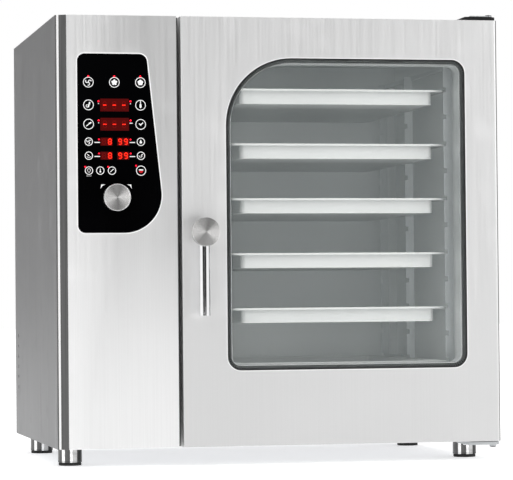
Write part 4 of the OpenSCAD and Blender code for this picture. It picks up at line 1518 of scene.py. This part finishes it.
    def digit(self, centre: Point, width: float, height: float, text: str) -> None:
        """Draws the seven segments of a digit, with those of its number lit.

        Args:
            centre: Middle of the digit.
            width: Width between the upright segments' lines.
            height: Height between the outer bars' lines.
            text: "8", "9" or nothing.
        """
        x, z = centre
        w, h = width / 2 * 0.72, height / 2 * 0.86
        stroke = 2.1 * MM
        gap = stroke * 0.62
        uprights = {
            "f": ((x - w, gap), (x - w, h - gap)), "b": ((x + w, gap), (x + w, h - gap)),
            "e": ((x - w, gap - h), (x - w, -gap)), "c": ((x + w, gap - h), (x + w, -gap)),
        }
        bars = {"a": h, "g": 0.0, "d": -h}
        lit = {"8": "abcdefg", "9": "abcdfg", "": ""}[text]
        for key, ((x0, z0), (x1, z1)) in uprights.items():
            sheet = self.digits if key in lit else self.faint
            sheet.bar((x0, z + z0), (x1, z + z1), stroke)
        for key, up in bars.items():
            sheet = self.digits if key in lit else self.faint
            sheet.bar((x - w + gap, z + up), (x + w - gap, z + up), stroke)

    def last_leds(self) -> None:
        """Lamps at the upper left of three of the last row's rings, and a short label."""
        for column, reach in (
            (self.columns[0], self.small_ring_r), (self.columns[0] + 52.8 * MM, self.small_ring_r),
            (self.columns[2], self.ring_r),
        ):
            self.red.disc(self.at(column - reach, self.last_row - reach), self.led_r * 0.9)
        x, z = self.at(self.columns[0], self.last_row + self.small_ring_r + 3.6 * MM)
        for shift in (-4, 0, 4):
            self.faint_label((x + shift * MM, z))

    def faint_label(self, centre: Point) -> None:
        """One small printed dash."""
        x, z = centre
        self.white.bar((x - 1.1 * MM, z), (x + 1.1 * MM, z), 0.9 * MM)

    def knob_marks(self) -> None:
        """Bent arrow heads at the knob's upper left and upper right."""
        knob = Span.of("control_knob")
        centre = (knob.mid.x, knob.mid.z)
        radius = knob.size.x / 2
        for side in (-1, 1):
            corner = (centre[0] + side * (radius + 3.5 * MM), centre[1] + radius - 1.0 * MM)
            inner = (corner[0] - side * 9.5 * MM, corner[1])
            outer = (corner[0] + side * 1.5 * MM, corner[1] - 10 * MM)
            notch = (corner[0] - side * 2.8 * MM, corner[1] - 3.2 * MM)
            outline = [inner, notch, outer, corner] if side > 0 else [corner, outer, notch, inner]
            self.white.fill(outline)

    def knob(self) -> None:
        """Turned knob with a rounded rim, its face ring and the skirt's grooves."""
        span = Span.of("control_knob")
        # Wedges of painted reflection on the knob's face.
        wedges = (
            (-180, 0.86), (-160, 0.8), (-140, 0.55), (-112, 0.34), (-84, 0.24), (-62, 0.42), (-38, 0.66),
            (-14, 0.95), (8, 1.0), (26, 0.8), (44, 0.5), (70, 0.27), (98, 0.36), (122, 0.32), (142, 0.58),
            (164, 0.84), (180, 0.86),
        )
        turned = TurnedSteel("knob_turned", span.mid, wedges).build()
        knob = Bench.refined("control_knob", "knob_turned", 1.0 * MM, 4)
        settle(knob, "knob", turned, ["control_knob"])
        rim = Bench.ring("knob_rim", Vector((span.mid.x, span.lo.y + 1.2 * MM, span.mid.z)), "Y",
                         span.size.x / 2 - 0.9 * MM, 0.8 * MM)
        Bench.take(rim)
        bpy.ops.object.shade_smooth_by_angle(angle=math.radians(60))
        settle(rim, "knob", self.finishes["polished_steel"])


# ---------------------------------------------------------------- door


@dataclass
class Door:
    """Door sheet, window band and dots, a band of painted highlight round the window, and a top lip."""

    finishes: dict[str, bpy.types.Material]
    stile_left: float = 104 * MM
    stile_right: float = 80 * MM
    rail_low: float = 174 * MM
    rail_top: float = 94 * MM
    radii: tuple[float, float, float, float] = (32 * MM, 32 * MM, 32 * MM, 157 * MM)
    band_w: float = 2.4 * MM
    dot_pitch: float = 5.8 * MM
    row_pitch: float = 4.2 * MM
    dot_sizes: tuple[float, ...] = (2.1 * MM, 1.6 * MM, 1.0 * MM)

    def __post_init__(self) -> None:
        """Works out the window from the door's sheet."""
        sheet = Span.of("door_skin")
        self.sheet = sheet
        self.low = (sheet.lo.x + self.stile_left, sheet.lo.z + self.rail_low)
        self.high = (sheet.hi.x - self.stile_right, sheet.hi.z - self.rail_top)
        self.pane_y = Span.of("door_glass").lo.y

    def outline(self, margin: float) -> list[Point]:
        """The window's outline moved outwards by a margin."""
        return rounded(self.low, self.high, self.radii, margin)

    def build(self) -> None:
        """Builds and dresses every piece of the door."""
        sheet = Bench.refined("door_skin", "door_sheet", 0.45 * MM, 3)
        settle(sheet, "door", self.finishes["brushed_panel"], ["door_skin"])
        # A thin near-white band round the window's edge: painted highlight.
        trim = Print(self.sheet.lo.y - 0.25 * MM, 0.6 * MM)
        trim.band(self.outline(1.9 * MM), self.outline(0.2 * MM))
        piece = trim.make("window_edge_highlight")
        Bench.round_off(piece, 0.2 * MM, 2)
        settle(piece, "door", self.finishes["trim_edge"])
        ink = Moulded("window_ink", (0.006, 0.006, 0.007), 0.3, scuff=0.05).build()
        band = Print(self.pane_y - 0.12 * MM, 0.1 * MM)
        band.band(self.outline(3 * MM), self.outline(-self.band_w))
        settle(band.make("window_band"), "door", ink)
        settle(self.dots(), "door", ink)
        self.top_lip()

    def dots(self) -> bpy.types.Object:
        """Rows of printed dots inside the band, smaller in each row."""
        rows = []
        for row, size in enumerate(self.dot_sizes):
            front = Vector((0, self.pane_y - 0.12 * MM, 0))
            back = Vector((0, self.pane_y - 0.02 * MM, 0))
            model = Bench.rod("dot", front, back, size, 10)
            line = self.outline(-self.band_w - (row + 0.4) * self.row_pitch)
            shift = 0.5 * (row % 2)
            places = [Vector((x, 0, z)) for x, z in self.walk(line, self.dot_pitch, shift)]
            rows.append(copies(f"dots_{row}", model, places))
        return Bench.joined("window_dots", rows)

    @staticmethod
    def walk(outline: Sequence[Point], pitch: float, shift: float) -> list[Point]:
        """Evenly spaced points along a closed outline.

        Args:
            outline: The outline's corners.
            pitch: Wanted distance between points.
            shift: Share of a pitch before the first point.

        Returns:
            The points.
        """
        corners = [Vector(p) for p in outline] + [Vector(outline[0])]
        lengths = [(b - a).length for a, b in zip(corners, corners[1:])]
        count = round(sum(lengths) / pitch)
        step = sum(lengths) / count
        points, gone, side = [], 0.0, 0
        for i in range(count):
            goal = (i + shift) * step
            while side < len(lengths) - 1 and gone + lengths[side] < goal:
                gone += lengths[side]
                side += 1
            share = (goal - gone) / max(lengths[side], 1e-9)
            at = corners[side].lerp(corners[side + 1], share)
            points.append((at.x, at.y))
        return points

    def top_lip(self) -> None:
        """Thin bright lip along the door's top edge."""
        low, high = self.sheet.lo, self.sheet.hi
        lip = Bench.block(
            "door_top_lip", Vector((low.x + 3 * MM, low.y + 6 * MM, high.z - 0.4 * MM)),
            Vector((high.x - 60 * MM, low.y + 8 * MM, high.z + 0.3 * MM)),
        )
        Bench.round_off(lip, 0.2 * MM, 2)
        settle(lip, "door", self.finishes["brushed_panel"])


@dataclass
class Handle:
    """Turned disc with its bar."""

    finishes: dict[str, bpy.types.Material]

    def build(self) -> None:
        """Builds and dresses the disc, its rim and the bar."""
        hub, bar = Span.of("handle_hub"), Span.of("handle_bar")
        # Wedges of painted reflection on the disc's face.
        wedges = (
            (-180, 0.82), (-162, 0.72), (-146, 0.5), (-128, 0.34), (-108, 0.36), (-86, 0.42), (-62, 0.48),
            (-46, 0.72), (-30, 0.96), (-8, 1.0), (12, 0.86), (30, 0.62), (52, 0.3), (76, 0.26), (98, 0.4),
            (124, 0.52), (146, 0.74), (166, 0.84), (180, 0.82),
        )
        turned = TurnedSteel("handle_turned", hub.mid, wedges).build()
        disc = Bench.refined("handle_hub", "handle_disc", 1.4 * MM, 4)
        settle(disc, "handle", turned, ["handle_hub"])
        rim = Bench.ring("handle_rim", Vector((hub.mid.x, hub.lo.y + 1.5 * MM, hub.mid.z)), "Y",
                         hub.size.x / 2 - 1.0 * MM, 0.9 * MM)
        Bench.smooth(rim)
        settle(rim, "handle", self.finishes["polished_steel"])
        grip = Bench.refined("handle_bar", "handle_grip", 1.2 * MM, 4)
        settle(grip, "handle", self.finishes["polished_steel"], ["handle_bar"])
        LOG.info("handle bar is %.0f mm long", bar.size.z / MM)


# ---------------------------------------------------------------- chamber


@dataclass
class Chamber:
    """Pans and the lamp ring."""

    finishes: dict[str, bpy.types.Material]
    pans: int = 6

    def build(self) -> None:
        """Builds and dresses the chamber's pieces."""
        for number in range(1, self.pans + 1):
            pan = Bench.refined(f"pan_{number}", f"gastronorm_pan_{number}", 0.5 * MM, 2)
            # The lowest pan takes the lighter copy of the pan steel: painted light.
            finish = "low_pan_steel" if number == 1 else "pan_steel"
            settle(pan, "cabinet", self.finishes[finish], [f"pan_{number}"])
        lamp = Span.of("cavity_lamp")
        ring = Bench.ring("lamp_ring", Vector((lamp.mid.x, lamp.mid.y, lamp.lo.z + 8 * MM)), "Z",
                          lamp.size.x / 2 + 1.0 * MM, 2 * MM)
        Bench.smooth(ring)
        settle(ring, "cabinet", self.finishes["rack_steel"])


# ---------------------------------------------------------------- studio


@dataclass
class Studio:
    """Camera, floor, surroundings and lamps."""

    place: Vector = field(default_factory=lambda: Vector((-1.3033, -6.2616, 0.3796)))
    yaw: float = math.radians(11.977)
    pitch: float = math.radians(1.32)
    roll: float = -0.00907
    lens: float = 182.58
    floor_size: float = 60.0

    def build(self) -> None:
        """Sets up the whole studio."""
        self.camera()
        self.floor()
        self.surroundings()
        self.lamps()
        bpy.context.scene.view_settings.view_transform = "Standard"
        bpy.context.scene.view_settings.look = "None"

    def camera(self) -> None:
        """Adds the camera and makes it the scene's own."""
        data = bpy.data.cameras.new("camera")
        data.lens = self.lens
        data.sensor_width = 36.0
        data.clip_start, data.clip_end = 0.05, 200.0
        camera = bpy.data.objects.new("camera", data)
        bpy.context.scene.collection.objects.link(camera)
        level = Vector((math.cos(self.yaw), -math.sin(self.yaw), 0))
        ahead = Vector((
            math.sin(self.yaw) * math.cos(self.pitch), math.cos(self.yaw) * math.cos(self.pitch),
            math.sin(self.pitch),
        ))
        upright = level.cross(ahead)
        right = level * math.cos(self.roll) + upright * math.sin(self.roll)
        up = -level * math.sin(self.roll) + upright * math.cos(self.roll)
        turn = Matrix((right, up, -ahead)).transposed().to_4x4()
        camera.matrix_world = Matrix.Translation(self.place) @ turn
        bpy.context.scene.camera = camera

    def floor(self) -> None:
        """Lays a plain pale floor."""
        Bench.clear()
        bpy.ops.mesh.primitive_plane_add(size=self.floor_size, location=(0, 0, 0))
        floor = bpy.context.object
        floor.name = "studio_floor"
        g = Graph("studio_floor")
        cloud = g.noise(g.place(), 0.6, 2.0)
        g.put(
            Base_Color=g.mix(g.span(cloud, 0.3, 0.7, 0.0, 1.0), (0.88, 0.88, 0.88), (0.92, 0.92, 0.92)),
            Roughness=g.span(cloud, 0.3, 0.7, 0.75, 0.85),
            Emission_Color=(1, 1, 1, 1), Emission_Strength=0.48,
        )
        floor.data.materials.append(g.material)

    def surroundings(self) -> None:
        """White ground behind, and bands of light and dark all round for the steel to mirror."""
        world = bpy.data.worlds.new("studio")
        bpy.context.scene.world = world
        world.use_nodes = True
        tree = world.node_tree
        tree.nodes.clear()
        new, link = tree.nodes.new, tree.links.new
        way = new("ShaderNodeTexCoord").outputs["Generated"]
        split = new("ShaderNodeSeparateXYZ")
        link(way, split.inputs[0])
        flip = new("ShaderNodeMath")
        flip.operation = "MULTIPLY"
        link(split.outputs[1], flip.inputs[0])
        flip.inputs[1].default_value = -1.0
        azimuth = new("ShaderNodeMath")
        azimuth.operation = "ARCTAN2"
        link(split.outputs[0], azimuth.inputs[0])
        link(flip.outputs[0], azimuth.inputs[1])
        share = new("ShaderNodeMapRange")
        link(azimuth.outputs[0], share.inputs["Value"])
        share.inputs["From Min"].default_value = -math.pi
        share.inputs["From Max"].default_value = math.pi
        bands = new("ShaderNodeValToRGB")
        link(share.outputs[0], bands.inputs[0])
        stops = (
            (-180, 0.04), (-114, 0.04), (-110, 1.1), (-50, 1.1), (-45, 0.02), (-28, 0.02), (-18, 0.09),
            (-6, 0.09), (8, 0.02), (24, 0.02), (29, 1.05), (84, 1.05), (90, 0.25), (150, 0.18), (180, 0.06),
        )
        ramp = bands.color_ramp
        while len(ramp.elements) < len(stops):
            ramp.elements.new(0.5)
        for element, (degrees, value) in zip(ramp.elements, stops):
            element.position = (degrees + 180) / 360
            element.color = (value, value, value, 1)
        high = new("ShaderNodeMapRange")
        high.interpolation_type = "SMOOTHSTEP"
        link(split.outputs[2], high.inputs["Value"])
        high.inputs["From Min"].default_value = 0.14
        high.inputs["From Max"].default_value = 0.5
        sky = new("ShaderNodeMix")
        sky.data_type = "RGBA"
        link(high.outputs[0], sky.inputs[0])
        link(bands.outputs[0], sky.inputs[6])
        sky.inputs[7].default_value = (0.85, 0.85, 0.85, 1)
        seen = new("ShaderNodeLightPath")
        pick = new("ShaderNodeMix")
        pick.data_type = "RGBA"
        link(seen.outputs["Is Camera Ray"], pick.inputs[0])
        link(sky.outputs[2], pick.inputs[6])
        pick.inputs[7].default_value = (1, 1, 1, 1)
        ground = new("ShaderNodeBackground")
        link(pick.outputs[2], ground.inputs[0])
        link(ground.outputs[0], new("ShaderNodeOutputWorld").inputs[0])

    def lamps(self) -> None:
        """Large soft lamps outside, and a panel of light inside the door's window."""
        glass, liner = Span.of("inner_glass"), Span.of("cavity_liner")
        middle = Vector((0, 0, 0.55))
        self.lamp("key", Vector((-3.0, -4.5, 3.4)), middle, (2.6, 2.6), 42)
        self.lamp("fill", Vector((3.6, -4.2, 2.4)), middle, (2.2, 2.2), 22)
        self.lamp("rear", Vector((1.0, 4.5, 3.0)), middle, (2.6, 2.6), 45)
        inside = Vector((glass.mid.x, liner.lo.y + 12 * MM, glass.mid.z))
        size = (glass.size.x * 0.9, glass.size.z * 0.95)
        panel = self.lamp("window", inside, inside + Vector((0, 1, 0)), size, 4.2)
        panel.visible_camera = panel.visible_glossy = panel.visible_transmission = False

    def lamp(self, name: str, at: Vector, to: Vector, size: Point, power: float) -> bpy.types.Object:
        """Adds one rectangular lamp.

        Args:
            name: Name of the lamp.
            at: Where it stands.
            to: What it points at.
            size: Its width and height.
            power: Its power in watts.

        Returns:
            The lamp.
        """
        data = bpy.data.lights.new(name, "AREA")
        data.shape = "RECTANGLE"
        data.size, data.size_y = size
        data.energy = power
        lamp = bpy.data.objects.new(name, data)
        bpy.context.scene.collection.objects.link(lamp)
        turn = (to - at).to_track_quat("-Z", "Z")
        lamp.matrix_world = Matrix.Translation(at) @ turn.to_matrix().to_4x4()
        lamp.visible_camera = False
        return lamp


def main() -> None:
    """Builds the whole picture around the frame."""
    logging.basicConfig(level=logging.INFO, format="%(name)s: %(message)s")
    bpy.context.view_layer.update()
    Studio().build()
    finishes = sheet_finishes()
    dress_nodes(finishes)
    Cabinet(finishes).build()
    ControlPanel(finishes).build()
    Door(finishes).build()
    Handle(finishes).build()
    Chamber(finishes).build()
    Bench.clear()


if __name__ == "__main__":
    main()
